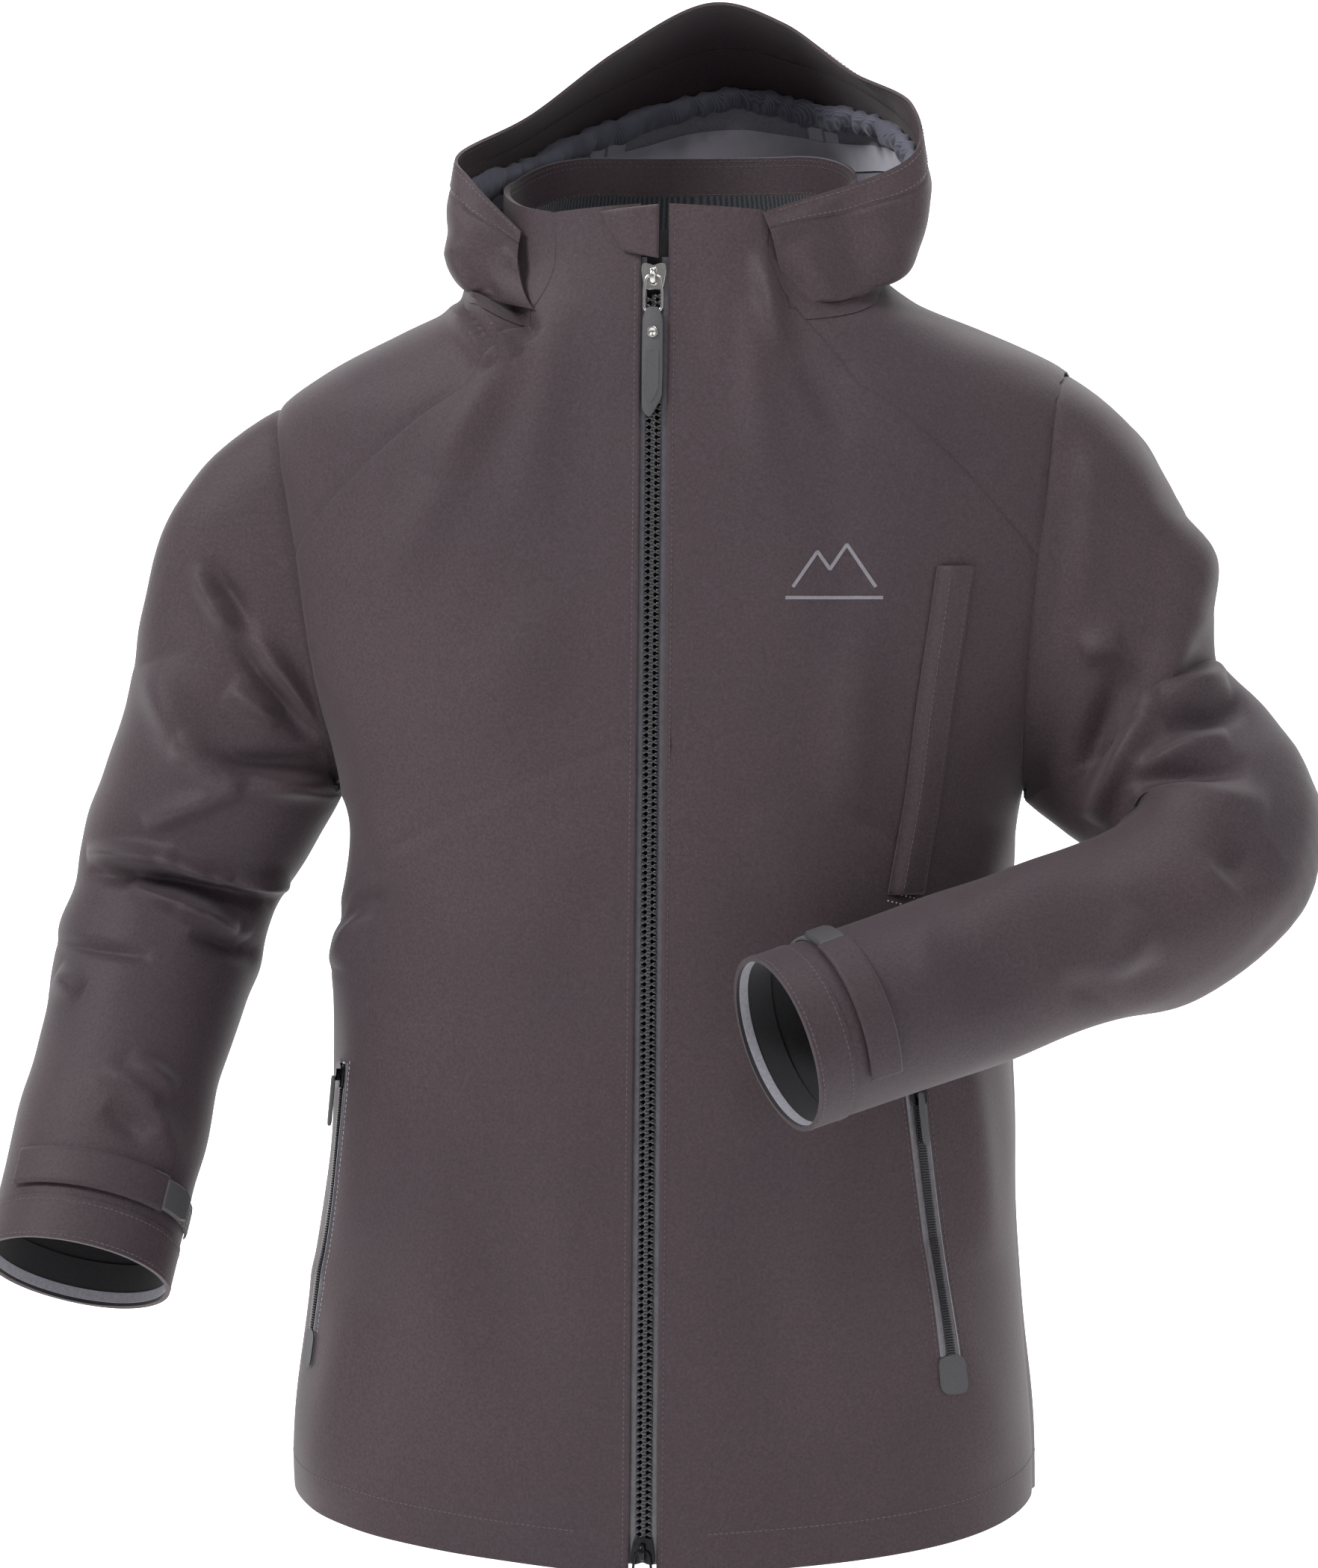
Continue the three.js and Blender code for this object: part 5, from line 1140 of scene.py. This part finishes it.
TOOTH = rounded([(-1.2, -1.05), (1.1, -1.25), (1.75, -0.62), (2.5, -0.62), (3.0, -1.45), (4.6, -1.45), (4.6, 1.45),
                 (3.0, 1.45), (2.5, 0.62), (1.75, 0.62), (1.1, 1.25), (-1.2, 1.05)], 0.3, 2)
for word, side, shift in (("left", 1, 0.0), ("right", -1, 0.5)):
    ups = np.arange(ZIP_LOW + 2 + shift * TOOTH_PITCH, ZIP_HIGH - 21, TOOTH_PITCH)
    flat, faces = plate(TOOTH, -4.1, -0.7, 0.42, place=lambda x, out, up: np.stack([side * x, out, up], -1))
    points, faces = repeated(flat, faces, lambda one: one + np.stack([0 * ups, 0 * ups, ups], -1)[:, None, :])
    if side > 0:
        faces = [face[::-1] for face in faces]
    mesh_piece(f"zip_teeth_{word}", on_zip(points[:, 0], points[:, 1], points[:, 2]), faces, [acetal], "jacket",
               f"main_zip_{word}_teeth")
    v, u = np.meshgrid(np.linspace(ZIP_LOW, ZIP_HIGH, 260), np.linspace(4.2, 15, 12), indexing="ij")
    swell = TAPE_LEVEL - 0.15 + 0.35 * np.exp(-(((u - 5.9) / 1.3) ** 2)) + 0.08 * np.sin(v / 5.1) * np.sin(v / 23)
    tape = cloth(f"zip_tape_{word}", on_zip(side * u, swell, v), on_zip(side * u, swell - 0.8, v), [coated_tape],
                 turn=side < 0)
    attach(tape, "jacket")
    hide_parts(f"main_zip_{word}_tape")

# Each panel's edge is turned under along the zip, so it shows as a soft roll.
for word, side in (("left", 1), ("right", -1)):
    z, turn = np.meshgrid(np.linspace(HEM_ZIP + 1, COLLAR_TOP - 5, 300), np.linspace(0, 1, 10), indexing="ij")
    edge = np.interp(turn, [0, 0.25, 0.45, 0.6, 0.8, 1], [11, 9.2, 8.2, 7.8, 8.2, 10])
    level = np.interp(turn, [0, 0.25, 0.45, 0.6, 0.8, 1], [0.1, 0.28, 0.05, -0.55, -1.3, -1.55])
    wave = 0.25 * np.sin(z / 17) * np.sin(z / 41)
    angle = side * angle_at(edge + wave, z)
    fold = bare_body(angle, z) + normal_of(bare_body, angle, z, 1, 2e-3, 0.5) * level[..., None]
    inner = fold + np.stack([0 * z + side * 0.5, 0 * z, 0 * z], -1)
    roll = cloth(f"front_edge_{word}", fold, inner, [shell_cloth], turn=side > 0)
    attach(roll, "jacket")


# ---- Stitching ----
# Lockstitch in dark polyester thread, 3 mm long: each stitch is a small bar that sinks at both ends.
def thread(name, low_colour, high_colour):
    material, tree, shader = new_material(name, high_colour, 0.6, Sheen_Weight=0.3)
    place = add_node(tree, "ShaderNodeTexCoord", {}, [])
    ply = add_node(tree, "ShaderNodeTexNoise", {"Scale": 1200.0}, [(place.outputs["Object"], "Vector")])
    shade = add_node(tree, "ShaderNodeValToRGB", {}, [(ply.outputs["Fac"], "Fac")])
    shade.color_ramp.elements[0].color = linear(low_colour)
    shade.color_ramp.elements[1].color = linear(high_colour)
    tree.links.new(shade.outputs["Color"], shader.inputs["Base Color"])
    return material


dark_thread = thread("dark_polyester_thread", "#2a2428", "#5a4f55")
# Pale thread: on the right pocket's inner row it is a painted highlight on the stitches; the bartacks are sewn with it
# too.
pale_stitches_and_highlight = thread("pale_polyester_thread", "#9a979c", "#c9c6cb")


def stitches(name, path, normal, material, pitch=3.2, length=2.3, width=0.55, lift=0.12):
    """Bars along a path: each is a four-sided spindle of three sections, standing on the cloth's normal."""
    run = np.concatenate([[0], np.cumsum(np.linalg.norm(np.diff(path, axis=0), axis=1))])
    middle = np.arange(pitch / 2, run[-1] - pitch / 2, pitch)

    def at(distance):
        return np.stack([np.interp(distance, run, path[:, k]) for k in range(3)], -1)

    up = unit(np.stack([np.interp(middle, run, normal[:, k]) for k in range(3)], -1))
    along = unit(at(middle + 0.5) - at(middle - 0.5))
    across = np.cross(along, up)
    sections = []
    for place, size in ((-0.5, 0.35), (-0.25, 1.0), (0.25, 1.0), (0.5, 0.35)):
        centre = at(middle + place * length) + up * (lift * (1.0 if size == 1.0 else -0.4))
        for a, b in ((-1, 0), (0, 1), (1, 0), (0, -1)):
            sections.append(centre + (across * a + up * b * 0.7) * width / 2 * size)
    points = np.stack(sections, 1)
    faces = grid_faces(4, 4, True).tolist() + [[3, 2, 1, 0], [12, 13, 14, 15]]
    every = [[i + k * 16 for i in face[::-1]] for k in range(len(points)) for face in faces]
    mesh = bpy.data.meshes.new(name)
    mesh.from_pydata(to_frame(points.reshape(-1, 3)).tolist(), [], every)
    mesh.polygons.foreach_set("use_smooth", [True] * len(mesh.polygons))
    mesh.materials.append(material)
    piece = bpy.data.objects.new(name, mesh)
    bpy.context.scene.collection.objects.link(piece)
    return piece


def body_stitches(name, angle, z, material=dark_thread, body_name="jacket", out=0.0, **sizes):
    path = body(angle, z)
    normal = normal_of(body, angle, z, 1, 2e-3, 0.5)
    row = stitches(name, path + normal * out, normal, material, **sizes)
    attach(row, body_name)
    return row


for word, side in (("left", 1), ("right", -1)):
    z = np.linspace(HEM_ZIP + 4, COLLAR_TOP - 8, 500)
    body_stitches(f"zip_stitching_{word}", side * angle_at(11.2, z), z)
    angle = np.linspace(0.12, ROUND - 0.02, 200)
    foot = mix(HEM_ZIP, HEM_SIDE, angle / ROUND) + 22
    body_stitches(f"hem_stitching_{word}", side * angle, foot)
angle = np.linspace(ROUND + 0.02, 2 * math.pi - ROUND - 0.02, 500)
body_stitches("hem_stitching_back", angle, HEM_SIDE + 22 - HEM_DROP * np.sin(angle - ROUND))
angle = np.linspace(0.7, 2 * math.pi - 0.7, 500)
folded = np.minimum(angle, 2 * math.pi - angle)
for name, drop in (("rim", 2.5), ("rim_second", 5.5), ("facing", FACING - 2.0)):
    z = rim_height(folded) - drop
    path = body(angle, z) - normal_of(body, angle, z, 1, 2e-3, 0.5) * 3.6
    row = stitches(f"collar_stitching_{name}", path, -normal_of(body, angle, z, 1, 2e-3, 0.5), dark_thread)
    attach(row, "jacket")
share = np.linspace(0.01, 0.99, 600)
for name, place in (("edge", 0.972), ("seam", BRIM_START + 0.022)):
    path = hood(share, np.full_like(share, place))
    normal = normal_of(hood, share, np.full_like(share, place), -1, 2e-3)
    for face, lift in (("outside", 0.0), ("inside", -1.85)):
        row = stitches(f"brim_stitching_{name}_{face}", path + normal * lift, normal if lift == 0 else -normal, dark_thread)
        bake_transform(row)
for word, arm in ARMS.items():
    sleeve, per_share, cuff_start = sleeves[word]
    phi = np.linspace(0, 2 * math.pi, 300)
    for name, place in (("hem", cuff_start + 4 / per_share), ("edge", 1 - 3 / per_share)):
        s = np.full_like(phi, place)
        normal = normal_of(sleeve, s, phi, arm["side"], 2e-3)
        row = stitches(f"{word}_cuff_stitching_{name}", sleeve(s, phi) + normal * 0.7, normal, dark_thread)
        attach(row, f"{word}_forearm")

# ---- Sliders and pullers ----
# Both sliders are die-cast zinc with an arched bail. The top one is bare, with a ring, a grey rubber tab and
# a rivet. The bottom one is black and hangs upside down with a longer ring.
SLIDER_OUTLINE = rounded([(-6.2, 14), (-6.4, 9.5), (-4.6, 0.2), (4.6, 0.2), (6.4, 9.5), (6.2, 14), (2.6, 13.4), (0, 12.2),
                          (-2.6, 13.4)], 1.6, 3)[::-1]


def slider(name, foot, material, body, node, upside_down):
    """Two plates joined by a web in the middle, and a bail of bent bar over the front one."""
    outline = SLIDER_OUTLINE * [1, -1] + [0, 14] if upside_down else SLIDER_OUTLINE
    outline = (outline[::-1] if upside_down else outline) + [0, foot]
    front = plate(outline, -0.3, 1.5, 0.6)
    back = plate(outline, -5.9, -4.5, 0.5)
    web = plate(rounded([(-0.7, foot + 4), (-0.7, foot + 11), (0.7, foot + 11), (0.7, foot + 4)], 0.5, 3), -4.7, -0.1, 0.05)
    arch_up = np.array([2.2, 2.3, 2.9, 4.2, 6.8, 9.4, 10.8, 11.4, 11.5]) + foot
    arch_out = np.array([1.2, 2.2, 3.9, 5.1, 5.4, 5.1, 3.9, 2.2, 1.2])
    turn = np.linspace(0, 2 * math.pi, 12, endpoint=False)
    lean = np.gradient(arch_out) / np.hypot(np.gradient(arch_out), np.gradient(arch_up))
    level = np.sqrt(1 - lean**2)
    rings = [on_zip(1.55 * np.cos(turn), o + 0.65 * np.sin(turn) * n, u - 0.65 * np.sin(turn) * m)
             for u, o, m, n in zip(arch_up, arch_out, lean, level)]
    points, faces = joined(front, back, web, rings_mesh(rings))
    return mesh_piece(name, points, faces, [material], body, node)


slider("zip_slider_top", 735.4, bright_zinc, "top_zip_slider", "top_slider", False)
slider("zip_slider_bottom", 15.5, black_zinc, "bottom_zip_slider", "bottom_slider", True)
ring = rounded([(-4.3, 723.2), (4.3, 723.2), (4.3, 734), (3.1, 741.8), (-3.1, 741.8), (-4.3, 734)], 2.2, 5)[::-1]
points, faces = loop_bar(ring, 1.6, 2.2, 3.5)
mesh_piece("puller_ring_top", points, faces, [bright_zinc], "top_zip_puller", "top_puller")
ring = rounded([(-4.3, -0.9), (4.3, -0.9), (4.3, 14), (3.1, 22), (-3.1, 22), (-4.3, 14)], 2.2, 5)[::-1]
bars = [loop_bar(ring, 1.6, 2.2, 3.5),
        plate(rounded([(-3.4, 8.4), (3.4, 8.4), (3.4, 10.2), (-3.4, 10.2)], 0.5, 3)[::-1], 2.3, 3.4, 0.3)]
points, faces = joined(*bars)
mesh_piece("puller_ring_bottom", points, faces, [black_zinc], "bottom_zip_puller", "bottom_puller")
tab_outline = rounded([(-3.6, 725), (3.6, 725), (5.9, 718), (6, 690), (5.6, 673.5), (-1.4, 661.8), (-5.8, 666.5), (-6, 690),
                       (-5.9, 718)], 2.4, 4)[::-1]
groove = rounded([(-3.4, 700), (3.4, 700), (3.4, 679), (-0.8, 671), (-3.4, 673)], 1.2, 4)
points, faces = joined(plate(tab_outline, 1.95, 3.85, 0.55), plate(groove, 3.6, 4.25, 0.3))
mesh_piece("pull_tab_rubber", points, faces, [rubber], "top_zip_puller", "pull_tab")
turn = np.linspace(0, 2 * math.pi, 28, endpoint=False)
rings = [on_zip(r * np.cos(turn), np.full_like(turn, level), 710.7 + r * np.sin(turn))
         for r, level in ((3.3, 3.8), (3.3, 4.5), (3.0, 4.9), (2.4, 5.05), (1.9, 4.95), (1.4, 4.6), (0.5, 4.5))]
points, faces = rings_mesh(rings)
mesh_piece("tab_rivet", points, [face[::-1] for face in faces], [bright_zinc], "top_zip_puller", "pull_tab_rivet")

# ---- Storm flap and zip garage ----
# A dark tricot flap sewn to the right front lies behind the zip. At its top a small folded flap of shell
# cloth covers the slider's parking place.
v, u = np.meshgrid(np.linspace(19, 768, 240), np.linspace(0, 1, 24), indexing="ij")
x = mix(-22.0, 14.0, u)
depth = mix(-2.9, -7.2, smooth(u * 4)) - 0.3 + 0.25 * np.sin(v / 31 + 3 * u)
out = unit(np.array([0, -1, FRONT_SLOPE]))
angle = np.sign(x) * angle_at(np.abs(x) + 0.01, v)
base = bare_body(angle, v) * [0, 1, 0] + np.stack([x, 0 * x, v], -1)
flap = cloth("zip_storm_flap", base + out * depth[..., None], base + out * (depth - 0.9)[..., None], [dark_tricot])
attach(flap, "jacket")
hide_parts("storm_flap")

u, v = share_grid(30, 46)
x = mix(mix(-18.0, 3.0, u), mix(-33.0, 3.0, u), v)
z = mix(mix(755.0, 751.0, u), mix(778.0, 781.5, u), v)
angle = np.sign(x) * angle_at(np.abs(x) + 0.01, z)
base = bare_body(angle, z)
lift = 0.7 + 2.8 * smooth(2 * u) + 0.5 * np.sin(3 * v + 2 * u) * u
rim = np.minimum(np.minimum(u * 30, (1 - u) * 30), np.minimum(v * 28, (1 - v) * 28))
crown = np.sqrt(np.minimum(1, rim / 1.5))
garage = cloth("garage_flap_cloth", base - np.stack([0 * z, lift + 0.5 + 1.2 * crown, 0 * z], -1),
               base - np.stack([0 * z, lift, 0 * z], -1), [shell_cloth])
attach(garage, "garage_flap")
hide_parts("zip_garage_flap")

# ---- Hand pockets ----
# Each has a coil zip with coated edges let into the skirt, a black slider, a rubber puller and a moulded
# garage at its lower end. The bag inside is dark tricot.
POCKET_LOW, POCKET_HIGH = 130.0, 288.0
POCKETS = {"left": (174, 152), "right": (199, 184)}
BAGS = {"left": (55, 150), "right": (62, 176)}


def beside(side, line, across, z, out=0.0, surface=body):
    """A point on the front a distance across from a line, which gives its distance from the zip by height."""
    middle = angle_at(line(z), z)
    step = np.linalg.norm(bare_body(middle + 0.01, z) - bare_body(middle, z), axis=-1) / 0.01
    angle = side * (middle + across / step)
    normal = normal_of(surface, angle, z, 1, 2e-3, 0.5)
    return surface(angle, z) + normal * np.asarray(out)[..., None]


for word, (line_low, line_high) in POCKETS.items():
    side = 1 if word == "left" else -1

    def line(z, a=line_low, b=line_high):
        return mix(a, b, (z - POCKET_LOW) / (POCKET_HIGH - POCKET_LOW))

    v, u = np.meshgrid(np.linspace(POCKET_LOW - 1, POCKET_HIGH, 90), np.linspace(-6.5, 6.5, 20), indexing="ij")
    ridge = 0.35 + 0.75 * np.exp(-(((np.abs(u) - 4.6) / 1.1) ** 2)) - 0.35 * (np.abs(u) > 6.2)
    edge = beside(side, line, u, v, ridge)
    tape = cloth(f"{word}_pocket_film", edge, beside(side, line, u, v, 0.0 * u - 0.6), [coated_tape], turn=side < 0)
    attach(tape, "jacket")
    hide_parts(f"{word}_pocket_tape")

    ups = np.arange(POCKET_LOW, POCKET_HIGH - 1, 1.5)
    turn = np.linspace(0, 2 * math.pi, 6, endpoint=False)
    coils = []
    for k, (a, b) in enumerate(((-2.7, 0.7), (-0.2, 1.5), (0.2, 1.5), (2.7, 0.7))):
        for t in turn:
            coils.append(beside(side, line, np.full_like(ups, a), ups + 0.55 * math.cos(t) + 0.25 * (k % 2),
                                b + 0.45 * math.sin(t) + 0 * ups))
    points = np.stack(coils, 1)
    faces = grid_faces(4, 6, True).tolist() + [[5, 4, 3, 2, 1, 0], [18, 19, 20, 21, 22, 23]]
    if side < 0:
        faces = [face[::-1] for face in faces]
    every = [[i + k * 24 for i in face] for k in range(len(points)) for face in faces]
    mesh_piece(f"{word}_pocket_coil", points.reshape(-1, 3), every, [acetal], "jacket", f"{word}_pocket_teeth")

    def pocket_place(x, out, up, side=side, line=line):
        return beside(side, line, x * side, up, out)

    def turned_out(mesh, side=side):
        return mesh

    shape = rounded([(-4.7, 275), (-3.4, 273), (3.4, 273), (4.7, 275), (4.7, 285), (2.4, 287.5), (-2.4, 287.5), (-4.7, 285)],
                    1.6, 3)[::-1]
    strap_low, strap_high = 1.9, 4.3
    points, faces = joined(plate(shape, 2.0, 3.8, 0.5, pocket_place),
                           plate(rounded([(-1.2, 277), (1.2, 277), (1.2, 284), (-1.2, 284)], 0.8, 3)[::-1], 3.4, 5.2, 0.5,
                                 pocket_place))
    mesh_piece(f"{word}_pocket_slider_body", points, faces, [black_zinc], f"{word}_pocket_zip_slider",
               f"{word}_pocket_slider")
    shape = rounded([(-1.5, 280), (1.5, 280), (2.1, 272), (2.4, 253), (1.4, 250), (-1.4, 250), (-2.4, 253), (-2.1, 272)],
                    1.2, 3)[::-1]
    points, faces = plate(shape, 5.3, 7.1, 0.6, pocket_place)
    mesh_piece(f"{word}_pocket_grip", points, faces, [rubber], f"{word}_pocket_zip_puller", f"{word}_pocket_puller")
    shape = rounded([(-7.5, 108), (7.5, 108), (7.2, 129), (-7.2, 129)], 5.5, 6)[::-1]
    points, faces = plate(shape, 0.1, 1.7, 0.7, pocket_place)
    mesh_piece(f"{word}_pocket_end", points, faces, [rubber], "jacket", f"{word}_pocket_garage")

    z = np.linspace(POCKET_LOW - 2, POCKET_HIGH + 2, 200)
    for name, across in (("inner", -8.4), ("outer", 8.4)):
        path = beside(side, line, np.full_like(z, across), z)
        normal = unit(beside(side, line, np.full_like(z, across), z, 1.0 + 0 * z) - path)
        # Only the right pocket's inner row is pale: a painted highlight where light catches its stitches.
        pale = word == "right" and name == "inner"
        row = stitches(f"{word}_pocket_stitching_{name}", path, normal, pale_stitches_and_highlight if pale else dark_thread)
        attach(row, "jacket")

    u, v = share_grid(60, 60)
    z = mix(POCKET_LOW - 30, POCKET_HIGH + 20, v)
    angle = side * angle_at(mix(*BAGS[word], u), z)
    base = body(angle, z)
    normal = normal_of(body, angle, z, 1, 2e-3, 0.5)
    puff = np.sin(math.pi * u) ** 0.5 * np.sin(math.pi * v) ** 0.5
    bag = cloth(f"{word}_pocket_pouch", base - normal * 2.4, base - normal * (2.7 + 2.8 * puff)[..., None],
                [dark_tricot], turn=side < 0)
    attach(bag, "jacket")
    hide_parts(f"{word}_pocket_bag")

# ---- Chest pocket ----
# An upright welt on the left chest hides a coil zip with a small slider. Rows of stitching run beside its
# free edge, and two short rows of bartacks close its lower end.
WELT_LOW, WELT_HIGH = 392.0, 578.0


def welt_line(z):
    return mix(152.0, 175.0, (z - WELT_LOW) / (WELT_HIGH - WELT_LOW))


v, u = np.meshgrid(np.linspace(WELT_LOW, WELT_HIGH, 110), np.linspace(0, 1, 30), indexing="ij")
across = mix(-20.0, 0.0, u)
rise = 0.4 + 3.4 * smooth(2.2 * u) + 0.5 * np.sin(v / 26) * u
rim = np.minimum((1 - u) * 20, np.minimum(v - WELT_LOW, WELT_HIGH - v))
crown = np.sqrt(np.clip(rim / 1.2, 0, 1))
welt = cloth("chest_welt_cloth", beside(1, welt_line, across, v, rise + 0.5 + 1.1 * crown),
             beside(1, welt_line, across, v, rise), [shell_cloth])
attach(welt, "chest_welt")
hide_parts("chest_pocket_welt")
z = np.linspace(WELT_LOW + 3, WELT_HIGH - 3, 200)
for name, across, lift in (("edge", -2.2, 5.2), ("inner", -13.0, 5.2)):
    path = beside(1, welt_line, np.full_like(z, across), z, lift + 0.5 * np.sin(z / 26) * (1 + across / 20))
    normal = unit(beside(1, welt_line, np.full_like(z, across), z, lift + 1.0 + 0 * z)
                  - beside(1, welt_line, np.full_like(z, across), z, lift + 0 * z))
    row = stitches(f"welt_stitching_{name}", path, normal, dark_thread)
    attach(row, "chest_welt")
for name, up in (("low", WELT_LOW - 3), ("high", WELT_LOW - 8)):
    across = np.linspace(-20, 1, 40)
    z = up - 0.25 * across
    path = beside(1, welt_line, across, z)
    normal = unit(beside(1, welt_line, across, z, 1.0 + 0 * z) - path)
    row = stitches(f"bartack_{name}", path, normal, pale_stitches_and_highlight, pitch=2.6, length=1.1, width=0.8)
    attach(row, "jacket")

ups = np.arange(WELT_LOW + 9, WELT_HIGH - 5, 1.6)
turn = np.linspace(0, 2 * math.pi, 6, endpoint=False)
coils = [beside(1, welt_line, np.full_like(ups, a - 8.0), ups + 0.5 * math.cos(t), b + 0.35 * math.sin(t) + 0 * ups)
         for a, b in ((-2.3, 0.5), (-0.3, 1.0), (0.3, 1.0), (2.3, 0.5)) for t in turn]
points = np.stack(coils, 1)
faces = grid_faces(4, 6, True).tolist() + [[5, 4, 3, 2, 1, 0], [18, 19, 20, 21, 22, 23]]
every = [[i + k * 24 for i in face] for k in range(len(points)) for face in faces]
mesh_piece("chest_pocket_coil", points.reshape(-1, 3), every, [acetal], "jacket", "chest_pocket_chain")
shape = rounded([(-3.7, 562.5), (3.7, 562.5), (3.7, 571.8), (-3.7, 571.8)], 1.8, 4)[::-1]
points, faces = plate(shape, 1.6, 3.2, 0.4, lambda x, out, up: beside(1, welt_line, x - 8.0, up, out))
mesh_piece("chest_slider_body", points, faces, [black_zinc], "chest_pocket_zip_slider", "chest_pocket_slider")
u, v = share_grid(60, 60)
z = mix(WELT_LOW + 4, WELT_HIGH - 20, v)
angle = angle_at(mix(52.0, 150.0, u), z)
base = body(angle, z)
normal = normal_of(body, angle, z, 1, 2e-3, 0.5)
puff = np.sin(math.pi * u) ** 0.5 * np.sin(math.pi * v) ** 0.5
pouch = cloth("chest_pocket_pouch", base - normal * 2.4, base - normal * (2.7 + 2.6 * puff)[..., None], [dark_tricot])
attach(pouch, "jacket")
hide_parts("chest_pocket_bag")

# A plain printed mark on the left chest: two peaks over a bar, in matt grey ink.
ink, tree, shader = new_material("screen_print_ink", "#77737a", 0.5)
place = add_node(tree, "ShaderNodeTexCoord", {}, [])
spots = add_node(tree, "ShaderNodeTexNoise", {"Scale": 800.0}, [(place.outputs["Object"], "Vector")])
shade = add_node(tree, "ShaderNodeValToRGB", {}, [(spots.outputs["Fac"], "Fac")])
shade.color_ramp.elements[0].color = linear("#68646b")
shade.color_ramp.elements[1].color = linear("#858189")
tree.links.new(shade.outputs["Color"], shader.inputs["Base Color"])
for name, corners in (("peaks", [(78, 566), (91, 586), (98, 576), (107, 590), (123, 566)]), ("bar", [(74, 560), (127, 560)])):
    corners = np.array(corners, float)
    run = np.concatenate([[0], np.cumsum(np.linalg.norm(np.diff(corners, axis=0), axis=1))])
    walk = np.sort(np.concatenate([np.linspace(0, run[-1], 60), run[1:-1]]))
    middle = np.stack([np.interp(walk, run, corners[:, k]) for k in (0, 1)], -1)
    along = unit(np.gradient(middle, axis=0))
    side_way = np.stack([-along[:, 1], along[:, 0]], -1)
    strokes = []
    for level in (0.22, -0.1):
        edges = [middle + side_way * half for half in (0.95, 0.3, -0.3, -0.95)]
        flat = np.stack(edges, 1)
        angle = angle_at(flat[..., 0], flat[..., 1])
        normal = normal_of(body, angle, flat[..., 1], 1, 2e-3, 0.5)
        strokes.append(body(angle, flat[..., 1]) + normal * level)
    mark = cloth(f"chest_mark_{name}", strokes[0], strokes[1], [ink], turn=True)
    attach(mark, "jacket")

# ---- Hem facing and hanger loop ----
# The hem is faced with a band of grey tricot. A loop of narrow dark tape is sewn at the nape inside.
u, v = share_grid(12, 400)
start = float(angle_at(27, 20))
angle = mix(start, 2 * math.pi - start, u)
away = np.minimum(1, np.minimum(angle, 2 * math.pi - angle) / ROUND)
sag = np.maximum(0, np.sin(angle - ROUND)) * HEM_DROP
z = mix(HEM_ZIP + 1, HEM_SIDE + 1, away) - sag + mix(0.5, 26, v)
base = body(angle, z)
normal = normal_of(body, angle, z, 1, 2e-3, 0.5)
facing = cloth("hem_facing_band", base - normal * 1.3, base - normal * 2.2, [backer])
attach(facing, "jacket")
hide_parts("hem_facing")

turn = np.linspace(0, 2 * math.pi, 80, endpoint=False)
section = np.linspace(0, 2 * math.pi, 12, endpoint=False)
round_way, across = np.meshgrid(turn, section, indexing="ij")
reach = 2.0 * np.sign(np.cos(across)) * np.abs(np.cos(across)) ** 0.6
x = (30 + reach) * np.cos(round_way)
z = 734 + (16 + reach) * np.sin(round_way)
y = 82.7 + 0.7 * np.sign(np.sin(across)) * np.abs(np.sin(across)) ** 0.6 - (x / 32) ** 2 * 1.4
faces = grid_faces(81, 12, True) % (80 * 12)
tape_weave, tree, shader = new_material("woven_tape", "#1c1b1f", 0.8, Sheen_Weight=0.2)
place = add_node(tree, "ShaderNodeTexCoord", {}, [])
weft = add_node(tree, "ShaderNodeTexWave", {"Scale": 300.0, "Distortion": 2.0}, [(place.outputs["Object"], "Vector")])
shade = add_node(tree, "ShaderNodeValToRGB", {}, [(weft.outputs["Fac"], "Fac")])
shade.color_ramp.elements[0].color = linear("#121115")
shade.color_ramp.elements[1].color = linear("#302f34")
tree.links.new(shade.outputs["Color"], shader.inputs["Base Color"])
mesh_piece("neck_hanger_tape", np.stack([x, y, z], -1).reshape(-1, 3), faces.tolist(), [tape_weave], "jacket",
           "hanger_loop")
